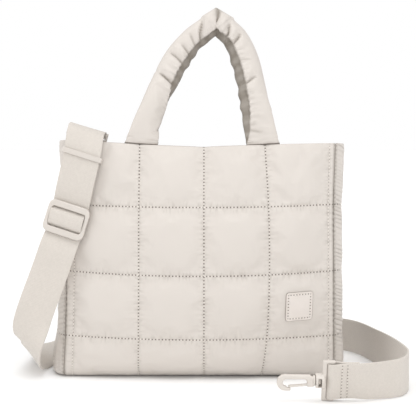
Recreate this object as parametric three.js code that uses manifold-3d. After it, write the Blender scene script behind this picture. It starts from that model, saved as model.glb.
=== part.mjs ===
// Quilted puffer tote: a padded body that runs from the front rim under the base to the back rim, two side
// gussets, two padded tube handles, and a webbing shoulder strap with a slider and two snap hooks.
// Millimetres. +X is to the right seen from the front, +Y to the back, +Z up.
// The origin is the centre of the flat base, on the surface that the bag stands on.

import * as THREE from "three";
import { mergeVertices } from "three/addons/utils/BufferGeometryUtils.js";
import Module from "manifold-3d";

const wasm = await Module();
wasm.setup();

// Clearance between neighbouring pieces, and the small step that a direction is measured over
const GAP = 0.3;
const NEAR = 0.01;

// Bag outline, a row for each height: the seams left and right of the middle, half the depth at the seams,
// and how far the middle of the front and of the back swells past the seams
const OUTLINE = [
  { z: 0, left: 150.5, right: 148, depth: 55, swell: 0 },
  { z: 20, left: 149.5, right: 147.5, depth: 57, swell: 13 },
  { z: 60, left: 147.5, right: 147, depth: 58, swell: 24 },
  { z: 116, left: 146, right: 146.5, depth: 58, swell: 28 },
  { z: 190, left: 145.5, right: 146, depth: 55, swell: 23 },
  { z: 263, left: 145.5, right: 148.5, depth: 48, swell: 11 },
];

// Quilting rows, from the lowest stitched row to the rim: height at the seams and sag at mid width
const ROWS = [
  { z: 45, sag: 1 },
  { z: 116.5, sag: 2.5 },
  { z: 190.5, sag: 2 },
  { z: 262, sag: 8 },
];

// Quilting columns, as shares of the half width, and the loft of the padding between stitched lines
const COLUMNS = [-1, -0.94, -0.45, 0.03, 0.5, 0.952, 1];
const LOFT = 7.5;
const BORDER_LOFT = 2;
const LOFT_ROUND = 2.4;
const LOFT_POWER = 0.6;
const RIM_SHARE = 0.93;

// Padded walls: thickness on a stitched line, and the radius where a wall turns under the base
const WALL = 3;
const FOOT_RADIUS = 14;

// Net steps: in a quilted cell, round the foot, across half the base, in an arc, in a corner, round a rod
const CELL_STEPS = 5;
const FOOT_STEPS = 3;
const BASE_STEPS = 2;
const ARC_STEPS = 6;
const CORNER_STEPS = 3;
const ROD_SIDES = 18;

// Side gussets: lift off the floor, swell past the seam, loft, the stitched line beside each seam,
// and how far the foot of each one spreads
const GUSSET_LIFT = 0.6;
const GUSSET_SWELL = 9;
const GUSSET_ROUND = 3;
const GUSSET_LOFT = 3.5;
const GUSSET_LINE = 0.8;
const GUSSET_BORDER = 0.6;
const GUSSET_RISE = 14;
const GUSSET_FLARE = { left: 4.5, right: 1, top: 70 };
const GUSSET_SAG = 5;

// Front handle, a row for each section of the arch from its left to its right sewn end
const HANDLE = [
  { x: -64, z: 254.8, wide: 37, thick: 5 },
  { x: -60, z: 278, wide: 33, thick: 14 },
  { x: -53.5, z: 298, wide: 29, thick: 21 },
  { x: -40, z: 326, wide: 28, thick: 25 },
  { x: -26, z: 352, wide: 28, thick: 26 },
  { x: -9, z: 375, wide: 25, thick: 26 },
  { x: 8, z: 391, wide: 27, thick: 26 },
  { x: 19, z: 395, wide: 29, thick: 24 },
  { x: 29, z: 391, wide: 27, thick: 26 },
  { x: 40.5, z: 377, wide: 25, thick: 26 },
  { x: 48, z: 355, wide: 28, thick: 26 },
  { x: 55, z: 327, wide: 29, thick: 25 },
  { x: 60, z: 298, wide: 31, thick: 20 },
  { x: 65.5, z: 273, wide: 34, thick: 12 },
  { x: 69, z: 254.8, wide: 37, thick: 5 },
];

// Folds across the handle, a row for each: place along the arch, depth as a share of the section, and spread
const HANDLE_FOLDS = [
  { at: 3.4, dip: 0.05, spread: 0.3 },
  { at: 4.9, dip: 0.07, spread: 0.3 },
  { at: 7, dip: 0.09, spread: 0.35 },
  { at: 8.6, dip: 0.07, spread: 0.3 },
  { at: 10.4, dip: 0.05, spread: 0.3 },
];
const HANDLE_FOOT_Y = -56.5;
const HANDLE_TOP_Y = -18;
const HANDLE_STEPS = 33;
const HANDLE_SIDES = 12;
const HANDLE_RIDGE = 0.16;
const HANDLE_RIDGE_AT = Math.PI / 4;
const HANDLE_RIDGE_SPAN = 0.3;
const HANDLE_ROUND = { from: 8, to: 20 };
const HANDLE_APEX = 7;

// The back handle stands a little wider and higher
const BACK_SPREAD = 1.09;
const BACK_RISE = 1.03;

// Webbing strap
const WEB_WIDE = 40;
const WEB_THICK = 1.8;

// Middle of the two strap layers between the slider and the upper fold, a row for each place
const DRAPE = [
  { x: -143.9, y: -72, z: 175.7, ax: -0.95, ay: 0.12, az: 0.3, apart: 2.4 },
  { x: -135.3, y: -71, z: 207.4, ax: -0.96, ay: 0.12, az: 0.3, apart: 2.6 },
  { x: -126.7, y: -70, z: 245.4, ax: -0.96, ay: 0.1, az: 0.3, apart: 2.6 },
  { x: -125, y: -66.5, z: 258.9, ax: -0.961, ay: 0.05, az: 0.3, apart: 3 },
  { x: -124.3, y: -58.5, z: 269.1, ax: -0.961, ay: 0, az: 0.3, apart: 4 },
  { x: -124, y: -47, z: 272.1, ax: -0.961, ay: 0, az: 0.3, apart: 5.6 },
];

// Strap from the slider to the free end: down the left, behind the bag and round its right side,
// a row for each bend with the direction across the webbing
const ROUTE = [
  { x: -152.5, y: -74.5, z: 147, ax: -0.94, ay: 0.08, az: 0.34 },
  { x: -163, y: -75, z: 121.5, ax: -0.93, ay: 0.05, az: 0.36 },
  { x: -183.6, y: -75, z: 69.3, ax: -0.93, ay: 0, az: 0.36 },
  { x: -192.5, y: -68, z: 42.5, ax: -0.79, ay: 0.4, az: 0.46 },
  { x: -191.5, y: -50, z: 26, ax: -0.48, ay: 0.5, az: 0.72 },
  { x: -185.5, y: -28, z: 20.9, ax: 0, ay: 0.1, az: 0.99 },
  { x: -180.5, y: -2, z: 19.8, ax: 0.3, ay: -0.2, az: 0.93 },
  { x: -178.5, y: 36, z: 19.4, ax: 0.3, ay: 0, az: 0.95 },
  { x: -174, y: 76, z: 20.2, ax: 0.2, ay: -0.1, az: 0.97 },
  { x: -157, y: 106, z: 20.6, ax: 0.1, ay: -0.1, az: 0.99 },
  { x: -115, y: 119, z: 20.6, ax: 0, ay: 0, az: 1 },
  { x: 0, y: 117, z: 20.6, ax: 0, ay: 0, az: 1 },
  { x: 120, y: 112, z: 20.6, ax: 0, ay: 0, az: 1 },
  { x: 180, y: 93, z: 20.6, ax: 0, ay: 0, az: 1 },
  { x: 207, y: 14, z: 20.6, ax: 0, ay: 0, az: 1 },
  { x: 219, y: -60, z: 20.6, ax: 0, ay: 0, az: 1 },
  { x: 219, y: -112, z: 20.6, ax: 0, ay: 0, az: 1 },
  { x: 205, y: -147, z: 20.6, ax: 0, ay: -0.1, az: 1 },
  { x: 178, y: -163, z: 20.8, ax: 0, ay: -0.25, az: 0.97 },
];
const STRAP_STEP = 12;
const STRAP_TURN = 0.04;
const WRAP_STEPS = 8;
const TAIL = 27;

// Slider on the strap: frame, slots and centre bar
const SLIDER_WIDE = 46;
const SLIDER_TALL = 32.5;
const SLIDER_CORNER = 7;
const SLIDER_THICK = 2.4;
const SLOT_WIDE = 41;
const SLOT_TALL = 8.6;
const SLOT_CORNER = 1.5;
const CENTRE_BAR = 3.4;

// Keeper band round both layers
const KEEPER_TALL = 5.6;
const KEEPER_WALL = 1.3;
const KEEPER_EASE = 1.2;
const KEEPER_SLACK = 1.5;
const KEEPER_AT = 2;

// Snap hook, measured from the middle of the bar that holds the webbing; the hook points to -X
const BAR_RADIUS = 2;
const LOOP_INSIDE = 41;
const LOOP_SIDE = 2.3;
const LOOP_THICK = 4;
const LOOP_FRONT = -9.2;
const LOOP_FRONT_WIDE = 4.3;
const LOOP_BACK = 3;
const BARREL_RADIUS = 7.6;
const BARREL_FROM = -15.7;
const BARREL_TO = -6.9;
const WINDOW_FROM = -13.3;
const WINDOW_TO = -9.9;
const WINDOW_TALL = 9.6;
const STEM_RADIUS = 3;
const HEAD_RADIUS = 4.3;
const HEAD_THICK = 2.6;
const COLLAR_RADIUS = 5.6;
const COLLAR_THICK = 2.2;
const NECK_AT = -18.2;
const HOOK_THICK = 6.4;
const HOOK_BEVEL = 0.9;
const NECK = { low: -6.2, high: 3.4, shoulder: 3, spine: 5.8, end: 6.2, notch: -0.6 };
const NOSE = { at: 28, up: -1.8, radius: 8.2 };
const EYE = { from: 8, to: 26.8, top: 1.4, radius: 3.4 };
const TIP = { at: 22.4, step: 25.8, seat: -7 };
const PIVOT = { at: 3.6, up: -4, pin: 0.9, bore: 1.25, root: 2.1 };
const GATE = { thick: 3.4, bar: 2.1, tip: 24.6, up: -5.6 };
const FORK = { from: 0.9, long: 6.8, wide: 4, top: -1.5, tall: 8 };
const FRONT_HOOK = { x: 131.5, y: -170, z: 22.4, lean: 0.36 };

// Left hook and the rings that the hooks clip to
const FOLD = { x: -123.8, y: -37, z: 271.6, ax: -0.961, az: 0.275 };
const WIRE_RADIUS = 1.7;
const RING_HALF = 10;
const RING_REACH = 19;
const RING_AT = -46;
const RING_DROP = -1.7;
const RING_STEPS = 12;
const WIRE_SIDES = 8;
const TAB_WIDE = 14;
const TAB_THICK = 1.5;
const TAB_SEWN = 20;
const RING_RIGHT = { x: 143, y: -37, z: 209 };

// Sewn patch on the front
const PATCH = { x: 107.5, z: 80, wide: 30, tall: 31, corner: 3.2, cut: 1.6, thick: 1.7, turn: 0.04 };
const PATCH_STEPS = 6;

const { clamp, lerp, smoothstep } = THREE.MathUtils;
const vector = (x, y, z) => new THREE.Vector3(x, y, z);

// Smooth curve through one column of a table, read at a place of another column
function read(table, by, column, at) {
  const last = table.length - 1;
  let i = 0;
  while (i < last - 1 && at > table[i + 1][by]) {
    i += 1;
  }
  const row = (n) => table[clamp(n, 0, last)];
  const slope = (n) => (row(n + 1)[column] - row(n - 1)[column]) / (row(n + 1)[by] - row(n - 1)[by]);
  const span = row(i + 1)[by] - row(i)[by];
  const t = clamp((at - row(i)[by]) / span, 0, 1);
  const start = row(i)[column];
  const end = row(i + 1)[column];
  const a = slope(i) * span - (end - start);
  const b = (end - start) - slope(i + 1) * span;
  return lerp(start, end, t) + t * (1 - t) * ((1 - t) * a + t * b);
}

// Closed geometry from points and triangles, turned outward
function geometryFrom(points, triangles) {
  const geometry = new THREE.BufferGeometry();
  const flat = points.flatMap((p) => [p.x, p.y, p.z]);
  geometry.setAttribute("position", new THREE.Float32BufferAttribute(flat, 3));
  const volume = triangles.reduce((sum, [a, b, c]) => {
    return sum + points[a].dot(points[b].clone().cross(points[c]));
  }, 0);
  const faces = volume < 0 ? triangles.map(([a, b, c]) => [a, c, b]) : triangles;
  geometry.setIndex(faces.flat());
  geometry.computeVertexNormals();
  return geometry;
}

// Solid between an outer and an inner net with the same rows and columns
function shell(outer, inner) {
  const rows = outer.length;
  const columns = outer[0].length;
  const triangles = [];
  const quad = (a, b, c, d) => triangles.push([a, b, c], [a, c, d]);
  const out = (r, c) => r * columns + c;
  const inn = (r, c) => (rows + r) * columns + c;
  for (let r = 0; r < rows - 1; r += 1) {
    for (let c = 0; c < columns - 1; c += 1) {
      quad(out(r, c), out(r, c + 1), out(r + 1, c + 1), out(r + 1, c));
      quad(inn(r, c), inn(r + 1, c), inn(r + 1, c + 1), inn(r, c + 1));
    }
    quad(out(r, 0), out(r + 1, 0), inn(r + 1, 0), inn(r, 0));
    quad(out(r, columns - 1), inn(r, columns - 1), inn(r + 1, columns - 1), out(r + 1, columns - 1));
  }
  for (let c = 0; c < columns - 1; c += 1) {
    quad(out(0, c), inn(0, c), inn(0, c + 1), out(0, c + 1));
    quad(out(rows - 1, c), out(rows - 1, c + 1), inn(rows - 1, c + 1), inn(rows - 1, c));
  }
  return geometryFrom([...outer.flat(), ...inner.flat()], triangles);
}

// Solid through a row of closed sections with the same number of points, capped at both ends
function loft(sections) {
  const sides = sections[0].length;
  const triangles = [];
  for (let i = 0; i < sections.length - 1; i += 1) {
    for (let j = 0; j < sides; j += 1) {
      const next = (j + 1) % sides;
      const [a, b] = [i * sides + j, i * sides + next];
      triangles.push([a, b, b + sides], [a, b + sides, a + sides]);
    }
  }
  const end = (sections.length - 1) * sides;
  for (let j = 1; j < sides - 1; j += 1) {
    triangles.push([0, j + 1, j], [end, end + j, end + j + 1]);
  }
  return geometryFrom(sections.flat(), triangles);
}

// Solids that are joined or cut
function solid(geometry) {
  const bare = geometry.clone();
  bare.deleteAttribute("normal");
  bare.deleteAttribute("uv");
  const merged = mergeVertices(bare, 1e-4);
  const { array } = merged.getAttribute("position");
  const triVerts = new Uint32Array(merged.index.array);
  return new wasm.Manifold(new wasm.Mesh({ numProp: 3, vertProperties: array, triVerts }));
}

function geometryOf(manifold) {
  const mesh = manifold.getMesh();
  const geometry = new THREE.BufferGeometry();
  geometry.setAttribute("position", new THREE.BufferAttribute(new Float32Array(mesh.vertProperties), 3));
  geometry.setIndex(new THREE.BufferAttribute(new Uint32Array(mesh.triVerts), 1));
  geometry.computeVertexNormals();
  return geometry;
}

const joined = (...parts) => parts.map(solid).reduce((sum, part) => sum.add(part));
const box = (wide, deep, tall, x, y, z) => new THREE.BoxGeometry(wide, deep, tall).translate(x, y, z);
const rod = (radius, long) => new THREE.CylinderGeometry(radius, radius, long, ROD_SIDES);
const rodX = (radius, from, to) => {
  return rod(radius, to - from).rotateZ(Math.PI / 2).translate((from + to) / 2, 0, 0);
};
const rodY = (radius, long, x, z) => rod(radius, long).translate(x, 0, z);
const rodZ = (radius, long, x) => rod(radius, long).rotateX(Math.PI / 2).translate(x, 0, 0);

// Flat outline drawn in X and Z, thickened about Y = 0
function plate(shape, thick, bevel, curveSegments = ARC_STEPS) {
  const settings = {
    depth: thick - 2 * bevel,
    bevelEnabled: bevel > 0,
    bevelThickness: bevel,
    bevelSize: bevel,
    bevelOffset: -bevel,
    bevelSegments: 1,
    curveSegments,
  };
  return new THREE.ExtrudeGeometry(shape, settings).translate(0, 0, bevel - thick / 2).rotateX(Math.PI / 2);
}

function roundedBox(wide, tall, corner, x, y, outline) {
  const [right, top] = [x + wide / 2, y + tall / 2];
  const [left, low] = [x - wide / 2, y - tall / 2];
  outline.moveTo(left + corner, low);
  outline.lineTo(right - corner, low);
  outline.absarc(right - corner, low + corner, corner, -Math.PI / 2, 0);
  outline.lineTo(right, top - corner);
  outline.absarc(right - corner, top - corner, corner, 0, Math.PI / 2);
  outline.lineTo(left + corner, top);
  outline.absarc(left + corner, top - corner, corner, Math.PI / 2, Math.PI);
  outline.lineTo(left, low + corner);
  outline.absarc(left + corner, low + corner, corner, Math.PI, 1.5 * Math.PI);
  return outline;
}

// Body: a place on the wrap is its share across the width and its girth, in bands from the middle of the
// base: base, foot, wall to the lowest stitched row, then one band for each quilted row up to the rim
const FOOT_BAND = 1;
const WALL_BAND = 2;
const QUILT_BAND = 3;
const RIM = QUILT_BAND + ROWS.length - 1;
const BASE_HALF = read(OUTLINE, "z", "depth", FOOT_RADIUS) - FOOT_RADIUS;

const seamAt = (across, z) => read(OUTLINE, "z", across < 0 ? "left" : "right", z);
const rowHeight = (row, across) => row.z - row.sag * (1 - across ** 2);

function wrapPoint(across, girth, side) {
  const band = Math.min(Math.floor(girth), RIM - 1);
  const t = girth - band;
  let y = BASE_HALF * t;
  let z = 0;
  if (band === FOOT_BAND) {
    y = BASE_HALF + FOOT_RADIUS * Math.sin(t * Math.PI / 2);
    z = FOOT_RADIUS * (1 - Math.cos(t * Math.PI / 2));
  }
  if (band >= WALL_BAND) {
    const low = band === WALL_BAND ? FOOT_RADIUS : rowHeight(ROWS[band - QUILT_BAND], across);
    z = lerp(low, rowHeight(ROWS[band - WALL_BAND], across), t);
    y = read(OUTLINE, "z", "depth", z);
  }
  y += read(OUTLINE, "z", "swell", z) * (1 - across ** 2);
  return vector(across * seamAt(across, z), side * y, z);
}

function wrapNormal(across, girth, side) {
  const low = Math.min(across, 1 - NEAR);
  const from = Math.min(girth, RIM - NEAR);
  const here = wrapPoint(low, from, side);
  const along = wrapPoint(low + NEAR, from, side).sub(here);
  const up = wrapPoint(low, from + NEAR, side).sub(here);
  return along.cross(up).multiplyScalar(-side).normalize();
}

// Loft of the padding, zero on stitched lines
const pillow = (share) => (1 - Math.abs(2 * share - 1) ** LOFT_ROUND) ** LOFT_POWER;

function columnLoft(across) {
  let i = 0;
  while (i < COLUMNS.length - 2 && across > COLUMNS[i + 1]) {
    i += 1;
  }
  const share = clamp((across - COLUMNS[i]) / (COLUMNS[i + 1] - COLUMNS[i]), 0, 1);
  const border = i === 0 || i === COLUMNS.length - 2;
  return (border ? BORDER_LOFT : LOFT) * pillow(share);
}

function rowLoft(girth) {
  if (girth < FOOT_BAND) {
    return 0;
  }
  if (girth < QUILT_BAND) {
    const share = (girth - FOOT_BAND) / (QUILT_BAND - FOOT_BAND);
    return share * pillow(share);
  }
  const band = Math.min(Math.floor(girth), RIM - 1);
  const share = girth - band;
  return pillow(band === RIM - 1 ? share * RIM_SHARE : share);
}

function outerPoint(across, girth, side) {
  const puff = columnLoft(across) * rowLoft(girth);
  const point = wrapPoint(across, girth, side).addScaledVector(wrapNormal(across, girth, side), puff);
  point.z = Math.max(point.z, 0);
  return point;
}

function innerPoint(across, girth, side) {
  return wrapPoint(across, girth, side).addScaledVector(wrapNormal(across, girth, side), -WALL);
}

// Values from one mark to the next in even steps
function between(marks, stepsIn) {
  const values = [marks[0]];
  for (let i = 0; i < marks.length - 1; i += 1) {
    const steps = stepsIn(i);
    for (let k = 1; k <= steps; k += 1) {
      values.push(lerp(marks[i], marks[i + 1], k / steps));
    }
  }
  return values;
}

function bodyGeometry() {
  const lastColumn = COLUMNS.length - 2;
  const across = between(COLUMNS, (i) => (i === 0 || i === lastColumn ? 1 : CELL_STEPS));
  const bands = [...Array(RIM + 1).keys()];
  const bandSteps = [BASE_STEPS, FOOT_STEPS, FOOT_STEPS];
  const girth = between(bands, (i) => bandSteps[i] ?? CELL_STEPS);
  const front = [...girth].reverse().map((g) => ({ g, side: -1 }));
  const back = girth.slice(1).map((g) => ({ g, side: 1 }));
  const net = (place) => [...front, ...back].map(({ g, side }) => across.map((a) => place(a, g, side)));
  const outer = net(outerPoint);
  const inner = net(innerPoint);
  inner.forEach((row, r) => {
    row.forEach((point, c) => {
      if (c === 0 || c === row.length - 1) {
        point.x = outer[r][c].x;
      }
    });
  });
  return shell(outer, inner);
}

// Gussets: a place is its share across the depth, front to back, and its share of the height
function edgeDepth(z) {
  if (z < FOOT_RADIUS) {
    return BASE_HALF + Math.sqrt(FOOT_RADIUS ** 2 - (FOOT_RADIUS - z) ** 2);
  }
  return read(OUTLINE, "z", "depth", z);
}

function gussetPoint(side, share, z, thick) {
  const rise = smoothstep(z, 0, GUSSET_RISE);
  const spread = side < 0 ? GUSSET_FLARE.left : GUSSET_FLARE.right;
  const flare = spread * (1 - smoothstep(z, 0, GUSSET_FLARE.top));
  const swell = (GUSSET_SWELL + flare) * (1 - Math.abs(share) ** GUSSET_ROUND) * rise;
  const x = seamAt(side, z) + GAP + swell + thick;
  return vector(side * x, share * edgeDepth(z), z);
}

function gussetGeometry(side) {
  const heights = [GUSSET_LIFT, ...ROWS.map((row) => row.z)];
  const levels = between(heights, (i) => (i === 0 ? CELL_STEPS : CELL_STEPS - 1));
  const shares = between([-1, -GUSSET_LINE, GUSSET_LINE, 1], (i) => (i === 1 ? CELL_STEPS + 1 : 2));
  const loftAt = (share, z) => {
    const beside = Math.abs(share) > GUSSET_LINE;
    const across = beside ? (1 - Math.abs(share)) / (1 - GUSSET_LINE) : (share / GUSSET_LINE + 1) / 2;
    const i = clamp(heights.findIndex((h) => h > z) - 1, 0, heights.length - 2);
    const band = z >= heights[heights.length - 1] ? heights.length - 2 : i;
    const up = clamp((z - heights[band]) / (heights[band + 1] - heights[band]), 0, 1);
    const row = band === heights.length - 2 ? up * RIM_SHARE : up;
    return GUSSET_LOFT * (beside ? GUSSET_BORDER : 1) * pillow(across) * pillow(row);
  };
  const rimDip = (share, z) => GUSSET_SAG * (1 - share ** 2) * smoothstep(z, ROWS[2].z, ROWS[3].z);
  const net = (thickness) => levels.map((z) => shares.map((share) => {
    const point = gussetPoint(side, share, z, thickness(share, z));
    point.z -= rimDip(share, z);
    return point;
  }));
  return shell(net((share, z) => WALL + loftAt(share, z)), net(() => 0));
}

// Handle: rings round the arch, the two sewn ends flattened along the rim
function handleGeometry(spread = 1, rise = 1) {
  const last = HANDLE.length - 1;
  const rows = HANDLE.map((row, i) => {
    return { ...row, at: i, x: spread * row.x, z: HANDLE[0].z + rise * (row.z - HANDLE[0].z) };
  });
  const place = (at) => {
    const z = read(rows, "at", "z", at);
    const lean = smoothstep(z, HANDLE[0].z, HANDLE[HANDLE_APEX].z);
    return vector(read(rows, "at", "x", at), lerp(HANDLE_FOOT_Y, HANDLE_TOP_Y, lean), z);
  };
  const sections = [];
  for (let i = 0; i <= HANDLE_STEPS; i += 1) {
    const at = last * i / HANDLE_STEPS;
    const centre = place(at);
    const along = place(Math.min(at + NEAR, last)).sub(place(Math.max(at - NEAR, 0))).normalize();
    const front = vector(0, -1, 0).addScaledVector(along, along.y).normalize();
    const inside = along.clone().cross(front).normalize();
    const [wide, thick] = [read(rows, "at", "wide", at), read(rows, "at", "thick", at)];
    const round = smoothstep(thick, HANDLE_ROUND.from, HANDLE_ROUND.to);
    const pinch = HANDLE_FOLDS.reduce((share, fold) => {
      return share * (1 - fold.dip * Math.exp(-(((at - fold.at) / fold.spread) ** 2)));
    }, 1);
    const foot = i === 0 || i === HANDLE_STEPS;
    const ring = [];
    for (let k = 0; k < HANDLE_SIDES; k += 1) {
      const angle = 2 * Math.PI * k / HANDLE_SIDES;
      const away = Math.atan2(Math.sin(angle - HANDLE_RIDGE_AT), Math.cos(angle - HANDLE_RIDGE_AT));
      const seam = HANDLE_RIDGE * Math.exp(-((away / HANDLE_RIDGE_SPAN) ** 2)) * round;
      const ridge = pinch * (1 + seam);
      const point = centre.clone();
      point.addScaledVector(inside, ridge * Math.cos(angle) * wide / 2);
      point.addScaledVector(front, ridge * Math.sin(angle) * thick / 2);
      if (foot) {
        point.x = centre.x + Math.cos(angle) * Math.sign(inside.x) * wide / 2;
        point.y = centre.y - Math.sin(angle) * thick / 2;
        const share = point.x / seamAt(point.x, centre.z);
        point.z = rowHeight(ROWS[ROWS.length - 1], share) + 1.5 * GAP;
      }
      ring.push(point);
    }
    sections.push(ring);
  }
  return loft(sections);
}

// Strap: a row of places, each with its middle and the direction across the webbing
function placeOf(row) {
  const across = vector(row.ax, row.ay, row.az).normalize();
  return { at: vector(row.x, row.y, row.z), across };
}

function wrapRound(centre, across, from, first, last, radius) {
  const side = across.clone().cross(from).normalize();
  return [...Array(WRAP_STEPS + 1).keys()].map((i) => {
    const angle = lerp(first, last, i / WRAP_STEPS);
    const at = centre.clone();
    at.addScaledVector(from, radius * Math.cos(angle));
    at.addScaledVector(side, radius * Math.sin(angle));
    return { at, across: across.clone() };
  });
}

const drape = DRAPE.map(placeOf);

// Direction out of the strap's face, toward the front and up, at a row of the doubled part
const OUTWARD = vector(0, -1, 1);

function drapeNormal(i) {
  const along = drape[Math.min(i + 1, drape.length - 1)].at.clone().sub(drape[Math.max(i - 1, 0)].at);
  const normal = along.cross(drape[i].across).normalize();
  return normal.dot(OUTWARD) < 0 ? normal.negate() : normal;
}

const sliderFrame = {
  at: drape[0].at,
  across: drape[0].across,
  along: drape[1].at.clone().sub(drape[0].at).normalize(),
  front: drapeNormal(0),
};

function strapPlaces() {
  const layer = (i, sign) => ({
    at: drape[i].at.clone().addScaledVector(drapeNormal(i), sign * DRAPE[i].apart / 2),
    across: drape[i].across,
  });
  const inSlider = (up, out) => {
    const at = sliderFrame.at.clone().addScaledVector(sliderFrame.along, up);
    return { at: at.addScaledVector(sliderFrame.front, out), across: sliderFrame.across };
  };
  const over = CENTRE_BAR / 2 + GAP;
  const inner = CENTRE_BAR / 2 + SLOT_TALL + GAP;
  const beyond = SLIDER_TALL / 2 + GAP;
  const lie = SLIDER_THICK / 2 + 2 * GAP + WEB_THICK / 2;
  const behind = lie + WEB_THICK + 2 * GAP;
  const bar = vector(FOLD.x, FOLD.y, FOLD.z);
  const barAcross = vector(FOLD.ax, 0, FOLD.az);
  const barUp = vector(FOLD.az, 0, -FOLD.ax);
  const wrapRadius = BAR_RADIUS + GAP + WEB_THICK / 2;
  const upper = DRAPE.map((_, i) => i).slice(1);
  const fold = wrapRound(bar, barAcross, barUp.clone().negate(), 0, -Math.PI, wrapRadius);
  const frontWrap = frontFrame();
  const end = wrapRound(frontWrap.at, frontWrap.across, frontWrap.front, 0, -Math.PI, wrapRadius);
  const doubled = (x, out) => ({
    at: frontWrap.at.clone().add(vector(x, 0, 0)).addScaledVector(frontWrap.front, out),
    across: frontWrap.across,
  });
  return [
    inSlider(-over, -lie),
    inSlider(over, -lie),
    inSlider(inner, -behind),
    inSlider(beyond, -behind),
    ...upper.map((i) => layer(i, -1)),
    ...fold,
    ...upper.reverse().map((i) => layer(i, 1)),
    inSlider(beyond, -lie),
    inSlider(inner, -lie),
    inSlider(over, lie),
    inSlider(-over, lie),
    inSlider(-inner, -lie),
    inSlider(-beyond, -lie),
    ...ROUTE.map(placeOf),
    doubled(TAIL, WEB_THICK / 2 + GAP),
    doubled(TAIL / 2, WEB_THICK / 2 + GAP),
    ...end,
    doubled(TAIL / 2, -WEB_THICK / 2 - GAP),
    doubled(TAIL, -WEB_THICK / 2 - GAP),
  ];
}

// Webbing direction and face at the front hook's bar
function frontFrame() {
  const { x, y, z, lean } = FRONT_HOOK;
  return {
    at: vector(x, y, z),
    across: vector(0, -Math.sin(lean), Math.cos(lean)),
    front: vector(0, -Math.cos(lean), -Math.sin(lean)),
  };
}

function strapGeometry() {
  const places = strapPlaces();
  const curve = new THREE.CatmullRomCurve3(places.map((p) => p.at), false, "centripetal");
  const turns = new THREE.CatmullRomCurve3(places.map((p) => p.across), false, "catmullrom");
  const last = places.length - 1;
  const frameAt = (share) => {
    const along = curve.getTangent(share);
    const across = turns.getPoint(share);
    return { along, wide: across.addScaledVector(along, -across.dot(along)).normalize() };
  };
  const shares = [];
  places.slice(0, -1).forEach((from, i) => {
    const turn = frameAt(i / last).wide.angleTo(frameAt((i + 1) / last).wide);
    const far = from.at.distanceTo(places[i + 1].at);
    const steps = Math.max(1, Math.round(far / STRAP_STEP), Math.ceil(turn / STRAP_TURN));
    for (let k = 0; k < steps; k += 1) {
      shares.push((i + k / steps) / last);
    }
  });
  shares.push(1);
  const sections = shares.map((share) => {
    const { along, wide } = frameAt(share);
    const out = along.clone().cross(wide);
    const corner = (w, n) => curve.getPoint(share)
      .addScaledVector(wide, w * WEB_WIDE / 2)
      .addScaledVector(out, n * WEB_THICK / 2);
    return [corner(-1, -1), corner(1, -1), corner(1, 1), corner(-1, 1)];
  });
  return loft(sections);
}

// Slider and keeper, drawn flat and turned into the strap's plane
function sliderGeometry() {
  const outline = roundedBox(SLIDER_WIDE, SLIDER_TALL, SLIDER_CORNER, 0, 0, new THREE.Shape());
  const slotAt = (CENTRE_BAR + SLOT_TALL) / 2;
  outline.holes.push(roundedBox(SLOT_WIDE, SLOT_TALL, SLOT_CORNER, 0, slotAt, new THREE.Path()));
  outline.holes.push(roundedBox(SLOT_WIDE, SLOT_TALL, SLOT_CORNER, 0, -slotAt, new THREE.Path()));
  const right = sliderFrame.across.clone();
  const up = sliderFrame.along.clone().addScaledVector(right, -sliderFrame.along.dot(right)).normalize();
  const turned = new THREE.Matrix4().makeBasis(right, up.clone().cross(right), up);
  return plate(outline, SLIDER_THICK, 0, CORNER_STEPS).applyMatrix4(turned.setPosition(sliderFrame.at));
}

function keeperGeometry() {
  const i = KEEPER_AT;
  const inWide = WEB_WIDE + 2 * KEEPER_EASE;
  const inDeep = DRAPE[i].apart + WEB_THICK + KEEPER_SLACK;
  const [outWide, outDeep] = [inWide + 2 * KEEPER_WALL, inDeep + 2 * KEEPER_WALL];
  const outline = roundedBox(outWide, outDeep, 1.5 * KEEPER_WALL, 0, 0, new THREE.Shape());
  outline.holes.push(roundedBox(inWide, inDeep, KEEPER_WALL / 2, 0, 0, new THREE.Path()));
  const settings = { depth: KEEPER_TALL, bevelEnabled: false, curveSegments: CORNER_STEPS };
  const band = new THREE.ExtrudeGeometry(outline, settings).translate(0, 0, -KEEPER_TALL / 2);
  const right = drape[i].across.clone();
  const front = drapeNormal(i);
  const up = right.clone().cross(front).normalize();
  return band.applyMatrix4(new THREE.Matrix4().makeBasis(right, front, up).setPosition(drape[i].at));
}

// Snap hook pieces, drawn about the strap bar
function loopSolid(windowed) {
  const tall = LOOP_INSIDE + 2 * LOOP_SIDE;
  const long = LOOP_BACK - LOOP_FRONT;
  const sideAt = (LOOP_INSIDE + LOOP_SIDE) / 2;
  const middle = (LOOP_BACK + LOOP_FRONT) / 2;
  const frontAt = LOOP_FRONT + LOOP_FRONT_WIDE / 2;
  const frame = joined(
    box(LOOP_FRONT_WIDE, LOOP_THICK, tall, frontAt, 0, 0),
    box(long, LOOP_THICK, LOOP_SIDE, middle, 0, sideAt),
    box(long, LOOP_THICK, LOOP_SIDE, middle, 0, -sideAt),
    rodZ(BAR_RADIUS, tall - LOOP_SIDE, 0),
    rodX(BARREL_RADIUS, BARREL_FROM, BARREL_TO),
  );
  if (!windowed) {
    return frame;
  }
  const windowWide = WINDOW_TO - WINDOW_FROM;
  const windowAt = (WINDOW_TO + WINDOW_FROM) / 2;
  const opening = solid(box(windowWide, 3 * BARREL_RADIUS, WINDOW_TALL, windowAt, 0, 0));
  return frame.subtract(opening).subtract(solid(rodX(STEM_RADIUS + GAP, BARREL_FROM - GAP, windowAt)));
}

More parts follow.
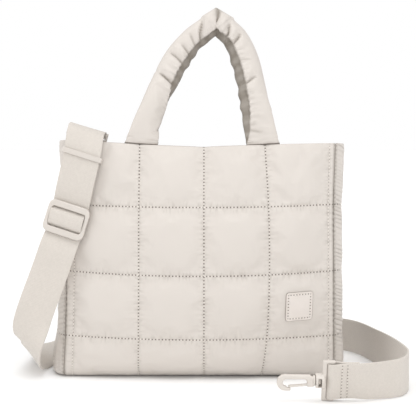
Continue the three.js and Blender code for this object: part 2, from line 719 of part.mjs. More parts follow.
function hookOutline() {
  const shape = new THREE.Shape();
  shape.moveTo(0, NECK.low);
  shape.lineTo(0, NECK.high);
  shape.lineTo(NECK.shoulder, NECK.spine);
  shape.lineTo(NOSE.at, NOSE.up + NOSE.radius);
  shape.absarc(NOSE.at, NOSE.up, NOSE.radius, Math.PI / 2, -Math.PI / 2, true);
  shape.lineTo(TIP.at, NOSE.up - NOSE.radius);
  shape.lineTo(TIP.at, TIP.seat);
  shape.lineTo(TIP.step, TIP.seat);
  shape.lineTo(EYE.to, EYE.top - 2 * EYE.radius);
  shape.absarc(EYE.to, EYE.top - EYE.radius, EYE.radius, -Math.PI / 2, Math.PI / 2, false);
  shape.lineTo(EYE.from, EYE.top);
  shape.lineTo(NECK.end, NECK.notch);
  shape.lineTo(NECK.end, NECK.low);
  shape.closePath();
  return shape;
}

function gateOutline(bored) {
  const shape = new THREE.Shape();
  const half = GATE.bar / 2;
  const slope = Math.atan2(GATE.up - PIVOT.up, GATE.tip - PIVOT.at);
  const reach = Math.asin(half / PIVOT.root);
  shape.absarc(PIVOT.at, PIVOT.up, PIVOT.root, slope + reach, slope - reach + 2 * Math.PI, false);
  shape.lineTo(TIP.at - GAP, GATE.up - half);
  shape.lineTo(TIP.at - GAP, TIP.seat + GAP);
  shape.lineTo(GATE.tip, TIP.seat + GAP);
  shape.lineTo(GATE.tip, GATE.up + half);
  shape.closePath();
  if (bored) {
    const hole = new THREE.Path();
    hole.absarc(PIVOT.at, PIVOT.up, PIVOT.bore, 0, 2 * Math.PI, true);
    shape.holes.push(hole);
  }
  return shape;
}

// The outlines run away from the loop, so they are turned to point to -X
const towardNose = (geometry) => geometry.rotateZ(Math.PI).translate(NECK_AT, 0, 0);

function hookSolid(forked) {
  const collar = rodX(COLLAR_RADIUS, NECK_AT, NECK_AT + COLLAR_THICK);
  const stem = rodX(STEM_RADIUS, NECK_AT, WINDOW_TO - GAP);
  const arm = solid(towardNose(plate(hookOutline(), HOOK_THICK, HOOK_BEVEL)));
  const hook = joined(collar, stem).add(arm);
  if (!forked) {
    return hook;
  }
  const headFrom = WINDOW_FROM + GAP;
  const head = solid(rodX(HEAD_RADIUS, headFrom, headFrom + HEAD_THICK));
  const [slotX, slotZ] = [FORK.from + FORK.long / 2, FORK.top - FORK.tall / 2];
  const slot = solid(towardNose(box(FORK.long, FORK.wide, FORK.tall, slotX, 0, slotZ)));
  const pin = solid(towardNose(rodY(PIVOT.pin, HOOK_THICK - 2 * GAP, PIVOT.at, PIVOT.up)));
  return hook.add(head).subtract(slot).add(pin);
}

// Ring: a bar in the tab and a round bow toward +X, drawn about the middle of the bar
function ringGeometry() {
  const points = [vector(0, 0, 0), vector(0, RING_HALF, 0)];
  const straight = RING_REACH - RING_HALF;
  for (let i = 0; i <= RING_STEPS; i += 1) {
    const angle = Math.PI / 2 - Math.PI * i / RING_STEPS;
    points.push(vector(straight + RING_HALF * Math.cos(angle), RING_HALF * Math.sin(angle), 0));
  }
  points.push(vector(0, -RING_HALF, 0));
  const count = points.length;
  const sides = WIRE_SIDES;
  const net = points.map((point, i) => {
    const along = points[(i + 1) % count].clone().sub(points[(i + count - 1) % count]).normalize();
    const out = along.clone().cross(vector(0, 0, 1));
    return [...Array(sides).keys()].map((k) => {
      const angle = 2 * Math.PI * k / sides;
      const ring = point.clone().addScaledVector(out, WIRE_RADIUS * Math.cos(angle));
      ring.z += WIRE_RADIUS * Math.sin(angle);
      return ring;
    });
  });
  const triangles = [];
  for (let i = 0; i < count; i += 1) {
    for (let k = 0; k < sides; k += 1) {
      const next = ((i + 1) % count) * sides;
      const [a, b] = [i * sides + k, i * sides + (k + 1) % sides];
      const [c, d] = [next + (k + 1) % sides, next + k];
      triangles.push([a, b, c], [a, c, d]);
    }
  }
  return geometryFrom(net.flat(), triangles);
}

// Tab: a strip folded round the ring's bar and sewn flat on the inside of the gusset
function tabGeometry(bar) {
  const [barX, barZ] = [bar.x, bar.z];
  const side = Math.sign(barX);
  const low = barZ - TAB_SEWN;
  const seat = gussetPoint(side, (Math.abs(bar.y) + TAB_WIDE / 2) / edgeDepth(low), low, 0).x;
  const wallX = seat - side * (TAB_THICK / 2 + 2 * GAP);
  const inside = WIRE_RADIUS + GAP;
  const bow = new THREE.Shape();
  bow.absarc(barX, barZ, inside + TAB_THICK, 0, 2 * Math.PI, false);
  const eye = new THREE.Path();
  eye.absarc(barX, barZ, inside, 0, 2 * Math.PI, true);
  bow.holes.push(eye);
  const neckFrom = barX + side * (inside + TAB_THICK / 2);
  const neck = box(Math.abs(wallX - neckFrom), TAB_WIDE, 2 * TAB_THICK, (neckFrom + wallX) / 2, 0, barZ);
  const sewn = box(TAB_THICK, TAB_WIDE, TAB_SEWN, wallX, 0, barZ - TAB_SEWN / 2 + TAB_THICK);
  return geometryOf(joined(plate(bow, TAB_WIDE, 0), neck, sewn)).translate(0, bar.y, 0);
}

// Patch: a rounded square laid on the front panel
function patchGeometry() {
  const surface = (x, z, out) => {
    const across = x / seamAt(x, z);
    const [low, high] = [rowHeight(ROWS[0], across), rowHeight(ROWS[1], across)];
    const girth = QUILT_BAND + (z - low) / (high - low);
    return outerPoint(across, girth, -1).addScaledVector(wrapNormal(across, girth, -1), out);
  };
  const net = (out) => [...Array(PATCH_STEPS + 1).keys()].map((r) => {
    return [...Array(PATCH_STEPS + 1).keys()].map((c) => {
      const [u, v] = [2 * c / PATCH_STEPS - 1, 2 * r / PATCH_STEPS - 1];
      const corner = Math.max(0, Math.abs(u) + Math.abs(v) - PATCH.cut) * PATCH.corner;
      const x = u * PATCH.wide / 2 - Math.sign(u) * corner;
      const z = v * PATCH.tall / 2 - Math.sign(v) * corner;
      const [turnX, turnZ] = [x - z * PATCH.turn, z + x * PATCH.turn];
      return surface(PATCH.x + turnX, PATCH.z + turnZ, out);
    });
  });
  return shell(net(2 * GAP + PATCH.thick), net(2 * GAP));
}

// Materials
const NYLON = { color: 0xe3dbd3, roughness: 0.6, metalness: 0 };
const WEBBING = { color: 0xdbd4ca, roughness: 0.85, metalness: 0 };
const MOULDED = { color: 0xe6ddd5, roughness: 0.3, metalness: 0 };
const RUBBER = { color: 0xe2d9d3, roughness: 0.5, metalness: 0 };

function piece(name, geometry, finish, parent) {
  const mesh = new THREE.Mesh(geometry, new THREE.MeshStandardMaterial({ ...finish, name }));
  mesh.name = name;
  parent.add(mesh);
  return mesh;
}

// The bag
const bag = new THREE.Group();
bag.name = "bag";
piece("body", bodyGeometry(), NYLON, bag);
piece("gusset_left", gussetGeometry(-1), NYLON, bag);
piece("gusset_right", gussetGeometry(1), NYLON, bag);
piece("handle_front", handleGeometry(), NYLON, bag);
piece("handle_back", handleGeometry(BACK_SPREAD, BACK_RISE), NYLON, bag).scale.set(1, -1, 1);
piece("label_patch", patchGeometry(), RUBBER, bag);
piece("strap", strapGeometry(), WEBBING, bag);
piece("slider", sliderGeometry(), MOULDED, bag);
piece("keeper", keeperGeometry(), MOULDED, bag);

// Hook on the free end, its loop in the webbing's plane and its hook upright
const freeEnd = new THREE.Group();
freeEnd.position.set(FRONT_HOOK.x, FRONT_HOOK.y, FRONT_HOOK.z);
bag.add(freeEnd);
piece("hook_loop", geometryOf(loopSolid(true)), MOULDED, freeEnd).rotation.x = FRONT_HOOK.lean;
piece("snap_hook", geometryOf(hookSolid(true)), MOULDED, freeEnd);
piece("hook_gate", towardNose(plate(gateOutline(true), GATE.thick, 0)), MOULDED, freeEnd);

// Hook under the upper fold, closed and in one piece, with its ring and tab
const upperEnd = new THREE.Group();
const barUp = vector(FOLD.az, 0, -FOLD.ax);
const barAcross = vector(FOLD.ax, 0, FOLD.az);
const upperBasis = new THREE.Matrix4().makeBasis(barUp, vector(0, 1, 0), barAcross);
upperEnd.applyMatrix4(upperBasis.setPosition(FOLD.x, FOLD.y, FOLD.z));
bag.add(upperEnd);
const closedGate = solid(towardNose(plate(gateOutline(false), GATE.thick, 0)));
piece("hook_left", geometryOf(loopSolid(false).add(hookSolid(false)).add(closedGate)), MOULDED, upperEnd);
piece("d_ring_left", ringGeometry(), MOULDED, upperEnd).position.set(RING_AT - RING_REACH, 0, RING_DROP);

const ringBar = vector(RING_AT - RING_REACH, 0, RING_DROP).applyMatrix4(upperBasis);
piece("ring_tab_left", tabGeometry(ringBar), WEBBING, bag);

const hanging = piece("d_ring_right", ringGeometry(), MOULDED, bag);
hanging.position.set(RING_RIGHT.x, RING_RIGHT.y, RING_RIGHT.z);
hanging.rotation.y = Math.PI / 2;
piece("ring_tab_right", tabGeometry(RING_RIGHT), WEBBING, bag);

export default bag;
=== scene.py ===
# %% [markdown]
# # A quilted puffer tote
# The bag is loaded first as plain solids that already have the right size and place. Each cell below
# dresses one piece of it: padded fabric is inflated by a cloth simulation, webbing and moulded hardware
# are modelled.

# %% Load the frame
import math

import bmesh
import bpy
import numpy as np
from mathutils import Matrix, Vector


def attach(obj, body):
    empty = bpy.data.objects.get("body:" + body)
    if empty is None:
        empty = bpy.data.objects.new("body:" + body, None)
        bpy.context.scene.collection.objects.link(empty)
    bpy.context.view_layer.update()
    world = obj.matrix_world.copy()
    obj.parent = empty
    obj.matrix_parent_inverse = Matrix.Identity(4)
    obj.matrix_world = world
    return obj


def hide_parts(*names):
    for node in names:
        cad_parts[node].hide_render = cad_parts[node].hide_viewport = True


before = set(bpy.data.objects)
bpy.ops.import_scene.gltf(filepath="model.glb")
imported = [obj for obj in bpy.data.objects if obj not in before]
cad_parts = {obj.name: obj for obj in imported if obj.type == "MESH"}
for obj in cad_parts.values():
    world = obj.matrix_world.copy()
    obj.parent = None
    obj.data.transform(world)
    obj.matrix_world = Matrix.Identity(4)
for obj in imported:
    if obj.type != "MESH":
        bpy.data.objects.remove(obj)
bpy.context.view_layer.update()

MM = 0.001
scene = bpy.context.scene

# %% [markdown]
# ## Camera, floor and light
# The bag stands on a white sheet and is seen from the front, a little above the middle, with a long lens.
# Wide soft suns from overhead, from above the camera, from its right and from the left, with a bright
# surrounding, give the low contrast of a shop picture. The white floor keeps only a thin shadow where the
# bag touches it.

# %% Camera, floor and light
scene.view_settings.view_transform = "Standard"
FRAME_PIXELS, FOCAL_PIXELS = 416, 1057
EYE_MM = (8.8, -1210, 256)
AIM_BELOW, AIM_AWAY = 62, 1045
FLOOR_HALF = 40
SKY_LIGHT, SEEN_LIGHT = 0.56, 1
SUNS = {
    "top_light": {"energy": 1.2, "spread": 60, "toward": (0.05, -0.1, 1)},
    "key_light": {"energy": 0.5, "spread": 40, "toward": (0.2, -0.62, 1.15)},
    "front_light": {"energy": 0.85, "spread": 40, "toward": (0.4, -1, 0.22)},
    "fill_light": {"energy": 0.9, "spread": 60, "toward": (-1, -0.12, 0.4)},
}

camera = bpy.data.objects.new("camera", bpy.data.cameras.new("camera"))
camera.data.sensor_width = 36
camera.data.lens = camera.data.sensor_width * FOCAL_PIXELS / FRAME_PIXELS
camera.location = Vector(EYE_MM) * MM
camera.rotation_euler = (math.pi / 2 - math.atan2(AIM_BELOW, AIM_AWAY), 0, 0)
scene.collection.objects.link(camera)
scene.camera = camera


def hex_colour(code):
    """Linear colour of an sRGB hex value."""
    parts = [int(code[i:i + 2], 16) / 255 for i in (0, 2, 4)]
    return (*[c / 12.92 if c <= 0.04045 else ((c + 0.055) / 1.055) ** 2.4 for c in parts], 1)


def add(tree, kind, settings={}, links={}):
    """Adds a node, with its properties or socket values, and what its sockets are linked from."""
    node = tree.nodes.new(kind)
    for name, value in settings.items():
        if isinstance(name, str) and hasattr(node, name):
            setattr(node, name, value)
        else:
            node.inputs[name].default_value = value
    for socket, source in links.items():
        tree.links.new(source, node.inputs[socket])
    return node


def new_object(name, mesh, material=None):
    """An object at the origin that shows a mesh."""
    piece = bpy.data.objects.new(name, mesh)
    scene.collection.objects.link(piece)
    if material:
        mesh.materials.clear()
        mesh.materials.append(material)
    return piece


def material(name, colour, roughness, **sockets):
    """A new Principled material, with its tree, its shader and its Object coordinates."""
    made = bpy.data.materials.new(name)
    made.use_nodes = True
    shader = made.node_tree.nodes["Principled BSDF"]
    for socket, value in {"Base Color": hex_colour(colour), "Roughness": roughness, **sockets}.items():
        shader.inputs[socket.replace("_", " ")].default_value = value
    return made, made.node_tree, shader, add(made.node_tree, "ShaderNodeTexCoord").outputs["Object"]


world = bpy.data.worlds.new("studio")
world.use_nodes = True
sky = world.node_tree
sky.nodes.clear()
lit, seen = [add(sky, "ShaderNodeBackground", {"Color": hex_colour("ffffff"), "Strength": strength})
             for strength in (SKY_LIGHT, SEEN_LIGHT)]
ray = add(sky, "ShaderNodeLightPath")
both = add(sky, "ShaderNodeMixShader", {},
           {0: ray.outputs["Is Camera Ray"], 1: lit.outputs[0], 2: seen.outputs[0]})
add(sky, "ShaderNodeOutputWorld", {}, {"Surface": both.outputs[0]})
scene.world = world

for name, light in SUNS.items():
    sun = bpy.data.objects.new(name, bpy.data.lights.new(name, "SUN"))
    sun.data.energy = light["energy"]
    sun.data.angle = math.radians(light["spread"])
    sun.rotation_euler = Vector(light["toward"]).to_track_quat("Z", "Y").to_euler()
    scene.collection.objects.link(sun)

bm = bmesh.new()
bmesh.ops.create_grid(bm, x_segments=1, y_segments=1, size=FLOOR_HALF)
floor_mesh = bpy.data.meshes.new("floor")
bm.to_mesh(floor_mesh)
bm.free()
new_object("floor", floor_mesh, material("white_paper", "fafafa", 0.9)[0])
print("camera lens:", round(camera.data.lens, 1), "mm,", len(SUNS), "suns")

# %% [markdown]
# ## Finishes
# Every finish is a node material on a Principled shader. Patterns read Object coordinates, which are
# metres here, or attributes that a piece carries: how far a point is from the nearest stitched line, how
# far along that line, and how much shade is painted on it in folds, creases and seams. Needle holes and
# stitched valleys also get painted shade. Sizes are in millimetres.

# %% Crinkled nylon
STITCH_PITCH = 3.65
# Needle holes are painted dark: painted shade inside the holes.
HOLE_CORE, HOLE_RADIUS, HOLE_SHADE_SHARE, HOLE_SHADE_COLOUR = 0.5, 1.1, 0.9, "5f554d"
CREASE_SIZE, CREASE_DEPTH, CREASE_LIE = 6, 0.2, (0.4, 0.4, 1)
# The creases of the puckers get a painted shade.
PUCKER_FADE, PUCKER_HIGH, PUCKER_SHADE, PUCKER_THIN = 9.0, 1.8, 0.2, (0.36, 0.47)
PUCKER_ACROSS, PUCKER_ALONG = 0.09, 0.3
# The valley along each stitched line gets a faint painted shade.
VALLEY_WIDE, VALLEY_SHADE = 1.3, 0.06
TONE_SIZE = 55
# The first two colours are the cloth's own tone, mixed at random. The last two are painted shade: one for
# folds, creases, seams and the handles' inner side, one for the valleys of stitched lines.
NYLON_LIGHT, NYLON_DEEP, NYLON_SHADED, NYLON_VALLEY_SHADE = "d2cbc4", "cbc4bd", "877f75", "a69c92"


def noise(tree, vector, size_mm, detail=2, **settings):
    """Noise whose main grain is size_mm wide on a vector in metres."""
    settings = {"Scale": 1 / (size_mm * MM), "Detail": detail, **settings}
    return add(tree, "ShaderNodeTexNoise", settings, {"Vector": vector}).outputs["Fac"]


def maths(tree, operation, a, b=0.0, c=0.0):
    """A Math node on links or plain values."""
    node = add(tree, "ShaderNodeMath", {"operation": operation})
    for socket, value in zip(node.inputs, (a, b, c)):
        if isinstance(value, (int, float)):
            socket.default_value = value
        else:
            tree.links.new(value, socket)
    return node.outputs[0]


def ramp(tree, value, low, high, start, end):
    """A smooth step of a value from start at low to end at high."""
    settings = {"interpolation_type": "SMOOTHSTEP", "From Min": low, "From Max": high,
                "To Min": start, "To Max": end}
    return add(tree, "ShaderNodeMapRange", settings, {"Value": value}).outputs[0]


def mixed(tree, share, a, b):
    """A colour mixed from two, each a hex value or a link."""
    node = add(tree, "ShaderNodeMix", {"data_type": "RGBA"}, {0: share})
    for socket, value in zip((node.inputs[6], node.inputs[7]), (a, b)):
        if isinstance(value, str):
            socket.default_value = hex_colour(value)
        else:
            tree.links.new(value, socket)
    return node.outputs[2]


def finish_shader(tree, shader, colour, height, distance_mm):
    """Links a colour, and a height in millimetres as bump, to the shader."""
    tree.links.new(colour, shader.inputs["Base Color"])
    bump = add(tree, "ShaderNodeBump", {"Strength": 1.0, "Distance": distance_mm * MM}, {"Height": height})
    tree.links.new(bump.outputs[0], shader.inputs["Normal"])


def carried(tree, name):
    """The three parts of an attribute that a piece carries, by axis."""
    vector = add(tree, "ShaderNodeAttribute", {"attribute_name": name}).outputs["Vector"]
    return add(tree, "ShaderNodeSeparateXYZ", {}, {0: vector}).outputs


def from_hole(tree, run, gap, pitch=STITCH_PITCH):
    """Distance from the nearest of the needle holes, which lie a pitch apart along a line."""
    along = maths(tree, "PINGPONG", run, pitch / 2)
    square = maths(tree, "MULTIPLY_ADD", along, along, maths(tree, "MULTIPLY", gap, gap))
    return maths(tree, "SQRT", square)


def nylon_material():
    """Crinkled nylon taffeta over wadding: a soft sheen, fine creases, puckers, painted shade in holes and
    folds.
    """
    made, tree, shader, place = material(
        "nylon_taffeta", "d2cac1", 0.55, Sheen_Weight=0.1, Sheen_Roughness=0.4)
    gaps, runs = carried(tree, "quilt"), carried(tree, "run")
    where = add(tree, "ShaderNodeSeparateXYZ", {}, {0: place}).outputs
    lying = add(tree, "ShaderNodeMapping", {"Scale": CREASE_LIE}, {"Vector": place}).outputs[0]
    creases = noise(tree, lying, CREASE_SIZE, 4, Roughness=0.6, Distortion=0.5)
    height = maths(tree, "MULTIPLY", creases, CREASE_DEPTH)
    holes, folds = [], []
    for axis, over in (("X", "X"), ("Y", "Z")):
        gap, run = gaps[axis], runs[axis]
        stretched = add(tree, "ShaderNodeCombineXYZ", {}, {
            0: maths(tree, "MULTIPLY", where[over], PUCKER_ACROSS / MM),
            1: maths(tree, "MULTIPLY", run, PUCKER_ALONG)})
        pucker = noise(tree, stretched.outputs[0], 1 / MM, 1)
        near = ramp(tree, gap, 0.0, PUCKER_FADE, 1.0, 0.0)
        puckered = maths(tree, "MULTIPLY", maths(tree, "MULTIPLY", pucker, near), PUCKER_HIGH)
        height = maths(tree, "ADD", height, puckered)
        # Painted shade in the creases of the puckers, near the stitched lines.
        thin = ramp(tree, pucker, *PUCKER_THIN, PUCKER_SHADE, 0.0)
        folds.append(maths(tree, "MULTIPLY", thin, near))
        holes.append(from_hole(tree, run, gap))
    # Painted shade in the needle holes.
    hole = ramp(tree, maths(tree, "MINIMUM", *holes), HOLE_CORE, HOLE_RADIUS, HOLE_SHADE_SHARE, 0.0)
    # Painted shade in the valley along each stitched line.
    valley = ramp(tree, maths(tree, "MINIMUM", gaps["X"], gaps["Y"]), 0.0, VALLEY_WIDE, VALLEY_SHADE, 0.0)
    tone = mixed(tree, noise(tree, place, TONE_SIZE), NYLON_LIGHT, NYLON_DEEP)
    # Painted shade: the shade share a piece carries or the pucker creases, whichever is darker.
    fold = maths(tree, "MAXIMUM", gaps["Z"], maths(tree, "MAXIMUM", *folds))
    painted_shade_tone = mixed(tree, valley, mixed(tree, fold, tone, NYLON_SHADED), NYLON_VALLEY_SHADE)
    finish_shader(tree, shader, mixed(tree, hole, painted_shade_tone, HOLE_SHADE_COLOUR), height, 0.5)
    return made


nylon = nylon_material()
print("finish:", nylon.name)

# %% [markdown]
# Webbing is a flat twill woven from matte yarn: diagonal ribs across the face and a toothed edge. The
# ribs of the real one are about a millimetre apart, finer than a pixel here, so they are drawn a little
# coarser. Where the end is sewn down, the needle leaves a row of holes, and shade is painted into them.

# %% Webbing, moulded plastic, soft rubber and thread
RIB_PITCH = 1.7
PICK_SHARE, YARN_HIGH, YARN_DARK = 0.35, 0.5, 0.3
# The last colour is painted shade in the needle holes.
WEB_LIGHT, WEB_DEEP, WEB_HOLE_SHADE = "d4cdc5", "c6bfb7", "655b51"
PATCH_WIDE, PATCH_TALL, PATCH_SEAM, PATCH_PITCH = 30, 31.5, 2.9, 3.2
PAST_CORNER = 4.0


def webbing_material(name, sewn=()):
    """Polyester twill webbing: matte, diagonal ribs along the strap or the solid on a tab; painted shade in
    holes.
    """
    made, tree, shader, place = material(name, "cdc4b9", 0.85, Sheen_Weight=0.15, Sheen_Roughness=0.5)
    upright = {"Scale": (1 / MM,) * 3, "Rotation": (0, math.pi / 2, 0)}
    on_tab = add(tree, "ShaderNodeMapping", upright, {"Vector": place}).outputs[0]
    weave = carried(tree, "weave") if sewn else add(tree, "ShaderNodeSeparateXYZ", {}, {0: on_tab}).outputs
    across, along = weave["X"], weave["Y"]
    turn = 2 * math.pi / RIB_PITCH
    rib = maths(tree, "SINE", maths(tree, "MULTIPLY", maths(tree, "ADD", across, along), turn))
    pick = maths(tree, "SINE", maths(tree, "MULTIPLY", maths(tree, "SUBTRACT", across, along), 2 * turn))
    yarn = maths(tree, "MULTIPLY_ADD", pick, PICK_SHARE, rib)
    fuzz = noise(tree, place, 2.5, 3, Roughness=0.7)
    shade = ramp(tree, maths(tree, "MULTIPLY_ADD", yarn, YARN_DARK, fuzz), 0.0, 1.0, 0.0, 1.0)
    colour = mixed(tree, shade, WEB_DEEP, WEB_LIGHT)
    # Painted shade in the needle holes of each sewn row.
    for mark in sewn:
        hole = ramp(tree, from_hole(tree, across, maths(tree, "SUBTRACT", along, mark)), 0.4, 1.0, 0.75, 0.0)
        colour = mixed(tree, hole, colour, WEB_HOLE_SHADE)
    finish_shader(tree, shader, colour, maths(tree, "MULTIPLY_ADD", yarn, YARN_HIGH, fuzz), 0.1)
    return made


def plastic_material():
    """Moulded acetal: smooth and glossy, very slightly uneven from the mould."""
    made, tree, shader, place = material(
        "moulded_acetal", "d3ccc4", 0.3, IOR=1.48, Coat_Weight=0.15, Coat_Roughness=0.2)
    tone = mixed(tree, noise(tree, place, 12), "d1cac3", "cac3bb")
    finish_shader(tree, shader, tone, noise(tree, place, 3), 0.03)
    return made


def rubber_material():
    """Soft moulded rubber: satin, with a fine grain, painted shade in its seam's needle holes and on its
    wall.
    """
    made, tree, shader, place = material("soft_rubber", "d6ccc4", 0.5, IOR=1.5)
    tone = mixed(tree, noise(tree, place, 10), "dcd4ce", "d5cdc6")
    border = carried(tree, "border")
    sides = [maths(tree, "SUBTRACT", half, maths(tree, "ABSOLUTE", border[axis]))
             for half, axis in ((PATCH_WIDE / 2, "X"), (PATCH_TALL / 2, "Y"))]
    holes = []
    for side, other, run in ((*sides, "Y"), (*sides[::-1], "X")):
        hole = from_hole(tree, border[run], maths(tree, "SUBTRACT", side, PATCH_SEAM), PATCH_PITCH)
        beyond = maths(tree, "MAXIMUM", maths(tree, "SUBTRACT", PATCH_SEAM, other), 0.0)
        holes.append(maths(tree, "MULTIPLY_ADD", beyond, PAST_CORNER, hole))
    # Painted shade in the needle holes along the seam.
    hole = ramp(tree, maths(tree, "MINIMUM", *holes), 0.45, 1.0, 0.85, 0.0)
    # Painted shadow at the foot of the patch's wall; below, the first dark colour is the holes' shade, the
    # second the wall's.
    wall = ramp(tree, border["Z"], 0.1, 0.7, 0.85, 0.0)
    colour = mixed(tree, wall, mixed(tree, hole, tone, "6f665e"), "7d736a")
    finish_shader(tree, shader, colour, noise(tree, place, 0.9), 0.05)
    return made


def thread_material():
    """Polyester sewing thread: two plies that shine a little along the stitch."""
    made, tree, shader, place = material("polyester_thread", "e4ddd5", 0.6)
    ply = noise(tree, place, 0.5, 1)
    finish_shader(tree, shader, mixed(tree, ply, "e8e2db", "ded7d0"), ply, 0.1)
    return made


plastic, rubber, thread = plastic_material(), rubber_material(), thread_material()
print("finishes:", ", ".join(m.name for m in (plastic, rubber, thread)))

# %% [markdown]
# ## The padded body
# The body is one quilted wrap: up the front, under the base and up the back. It is stitched in rows and
# columns to a lining, so the fabric can only rise between the lines. The same tables that shape the solid
# place a fine grid here, in millimetres. The points on stitched lines are then pinned, and a cloth
# simulation with a little air pressure and a little spare cloth swells each cell and lets it crease where
# it is held.

# %% Shape of the body
def table(columns, *rows):
    """Rows of numbers under named columns."""
    return [dict(zip(columns.split(), row)) for row in rows]


OUTLINE = table(
    "z left right depth swell",
    (0, 150.5, 148, 55, 0), (20, 149.5, 147.5, 57, 13), (60, 147.5, 147, 58, 24),
    (116, 146, 146.5, 58, 28), (190, 145.5, 146, 55, 27), (263, 145.5, 148.5, 48, 11),
)
ROWS = table("z sag power", (47.8, 1.6, 2), (119, 3, 2), (191.5, 2, 2), (262, 8, 1.35))
COLUMN_LEAN = table("z lean", (0, -6.5), (47.8, -1), (119, 1.6), (191.5, 0.8), (262, -3.8))
LEAN_AT, LEAN_SPAN, LEAN_FADE = 0.5, 0.24, 8
RIM_FALL = 3.5
HALF_WIDTH = 147.0
COLUMNS = [-1, -0.94, -0.45, 0.03, 0.5, 0.959, 1]
COLUMN_STEPS = [3, 22, 22, 22, 21, 2]
BAND_STEPS = [8, 6, 10, 22, 23, 22]
WALL = 3
FOOT_RADIUS = 14
LOFT = 6
BORDER_LOFT = 2
LOFT_POWER, LOFT_ROUND = 0.6, 2.4
RIM_SHARE = 0.93
FOOT_BAND, WALL_BAND, QUILT_BAND = 1, 2, 3
RIM_ROW = len(ROWS) - 1
RIM = QUILT_BAND + RIM_ROW
SEWN_BANDS = list(range(QUILT_BAND, RIM))
NEAR = 0.01


def read(table, by, column, at):
    """Smooth curve through one column of a table, read at places of another."""
    x = np.array([row[by] for row in table], float)
    y = np.array([row[column] for row in table], float)
    at = np.asarray(at, float)
    last = len(x) - 1
    after, before = np.minimum(np.arange(last + 1) + 1, last), np.maximum(np.arange(last + 1) - 1, 0)
    slope = (y[after] - y[before]) / (x[after] - x[before])
    i = np.clip(np.searchsorted(x, at, side="left") - 1, 0, last - 1)
    span, rise = x[i + 1] - x[i], y[i + 1] - y[i]
    t = np.clip((at - x[i]) / span, 0, 1)
    bend = (1 - t) * (slope[i] * span - rise) + t * (rise - slope[i + 1] * span)
    return y[i] + rise * t + t * (1 - t) * bend


def between(marks, steps):
    """Values from one mark to the next in even steps."""
    parts = [np.linspace(a, b, n, endpoint=False) for a, b, n in zip(marks, marks[1:], steps)]
    return np.append(np.concatenate(parts), marks[-1])


def smoothstep(x, low, high):
    """A smooth rise from 0 at low to 1 at high."""
    t = np.clip((x - low) / (high - low), 0, 1)
    return t * t * (3 - 2 * t)


def seam_at(across, z):
    """Half the wrap's width at a height, on the side that across points to."""
    return np.where(across < 0, read(OUTLINE, "z", "left", z), read(OUTLINE, "z", "right", z))


def row_height(n, across):
    """Heights of stitched row n, which sags between the seams; the last row is the rim."""
    z, sag, power = [np.array([row[column] for row in ROWS])[n] for column in ("z", "sag", "power")]
    fall = np.where(n == RIM_ROW, RIM_FALL * np.maximum(across, 0) ** 2, 0)
    return z - sag * (1 - np.abs(across) ** power) - fall


BASE_HALF = float(read(OUTLINE, "z", "depth", FOOT_RADIUS)) - FOOT_RADIUS


def wrap_point(across, girth, side):
    """Places on the wrap, in millimetres, from shares across and bands of girth up from the base's middle."""
    across, girth, side = np.broadcast_arrays(*[np.asarray(v, float) for v in (across, girth, side)])
    band = np.minimum(np.floor(girth), RIM - 1).astype(int)
    t = girth - band
    turn = t * math.pi / 2
    low = np.where(band == WALL_BAND, FOOT_RADIUS, row_height(np.maximum(band - QUILT_BAND, 0), across))
    high = row_height(np.maximum(band - WALL_BAND, 0), across)
    foot, wall = band == FOOT_BAND, band >= WALL_BAND
    z = np.where(wall, low + (high - low) * t, np.where(foot, FOOT_RADIUS * (1 - np.cos(turn)), 0))
    under = np.where(foot, BASE_HALF + FOOT_RADIUS * np.sin(turn), BASE_HALF * t)
    y = np.where(wall, read(OUTLINE, "z", "depth", z), under)
    y = y + read(OUTLINE, "z", "swell", z) * (1 - across ** 2)
    lean = read(COLUMN_LEAN, "z", "lean", z) * np.exp(-(((across - LEAN_AT) / LEAN_SPAN) ** 2))
    return np.stack([across * seam_at(across, z) + lean * (1 - across ** LEAN_FADE), side * y, z], -1)


def unit(v):
    return v / np.maximum(np.linalg.norm(v, axis=-1, keepdims=True), 1e-9)


def wrap_normal(across, girth, side):
    """Outward directions on the wrap."""
    low, start = np.minimum(across, 1 - NEAR), np.minimum(girth, RIM - NEAR)
    here = wrap_point(low, start, side)
    along, up = wrap_point(low + NEAR, start, side) - here, wrap_point(low, start + NEAR, side) - here
    return unit(np.cross(along, up) * -np.broadcast_to(side, here.shape[:-1])[..., None])


def pillow(share):
    """Rise of a padded cell over its share, from 0 at its edges to 1."""
    return np.maximum(1 - np.abs(2 * share - 1) ** LOFT_ROUND, 0) ** LOFT_POWER


def column_loft(across):
    """Loft of the cells across the wrap."""
    i = np.clip(np.searchsorted(COLUMNS, across, side="left") - 1, 0, len(COLUMNS) - 2)
    marks = np.array(COLUMNS)
    share = np.clip((across - marks[i]) / (marks[i + 1] - marks[i]), 0, 1)
    return np.where((i == 0) | (i == len(COLUMNS) - 2), BORDER_LOFT, LOFT) * pillow(share)


def row_loft(girth):
    """Share of that loft up the wrap."""
    foot = np.clip((girth - FOOT_BAND) / (QUILT_BAND - FOOT_BAND), 0, 1)
    band = np.clip(np.floor(girth), QUILT_BAND, RIM - 1)
    share = np.clip(girth - band, 0, 1)
    quilt = pillow(np.where(band == RIM - 1, share * RIM_SHARE, share))
    return np.where(girth < FOOT_BAND, 0, np.where(girth < QUILT_BAND, foot * pillow(foot), quilt))


across = between(COLUMNS, COLUMN_STEPS)
girth_up = between(list(range(RIM + 1)), BAND_STEPS)
girth = np.concatenate([girth_up[::-1], girth_up[1:]])
side = np.concatenate([-np.ones(len(girth_up)), np.ones(len(girth_up) - 1)])
GRID_A, GRID_G = np.meshgrid(across, girth)
GRID_S = np.broadcast_to(side[:, None], GRID_A.shape)
print("body grid:", GRID_A.shape[0], "rows of", GRID_A.shape[1])

# %% [markdown]
# A grid comes from the grid operator and is then put in place. Its points, and what they carry for the
# finishes, are read and written as arrays.

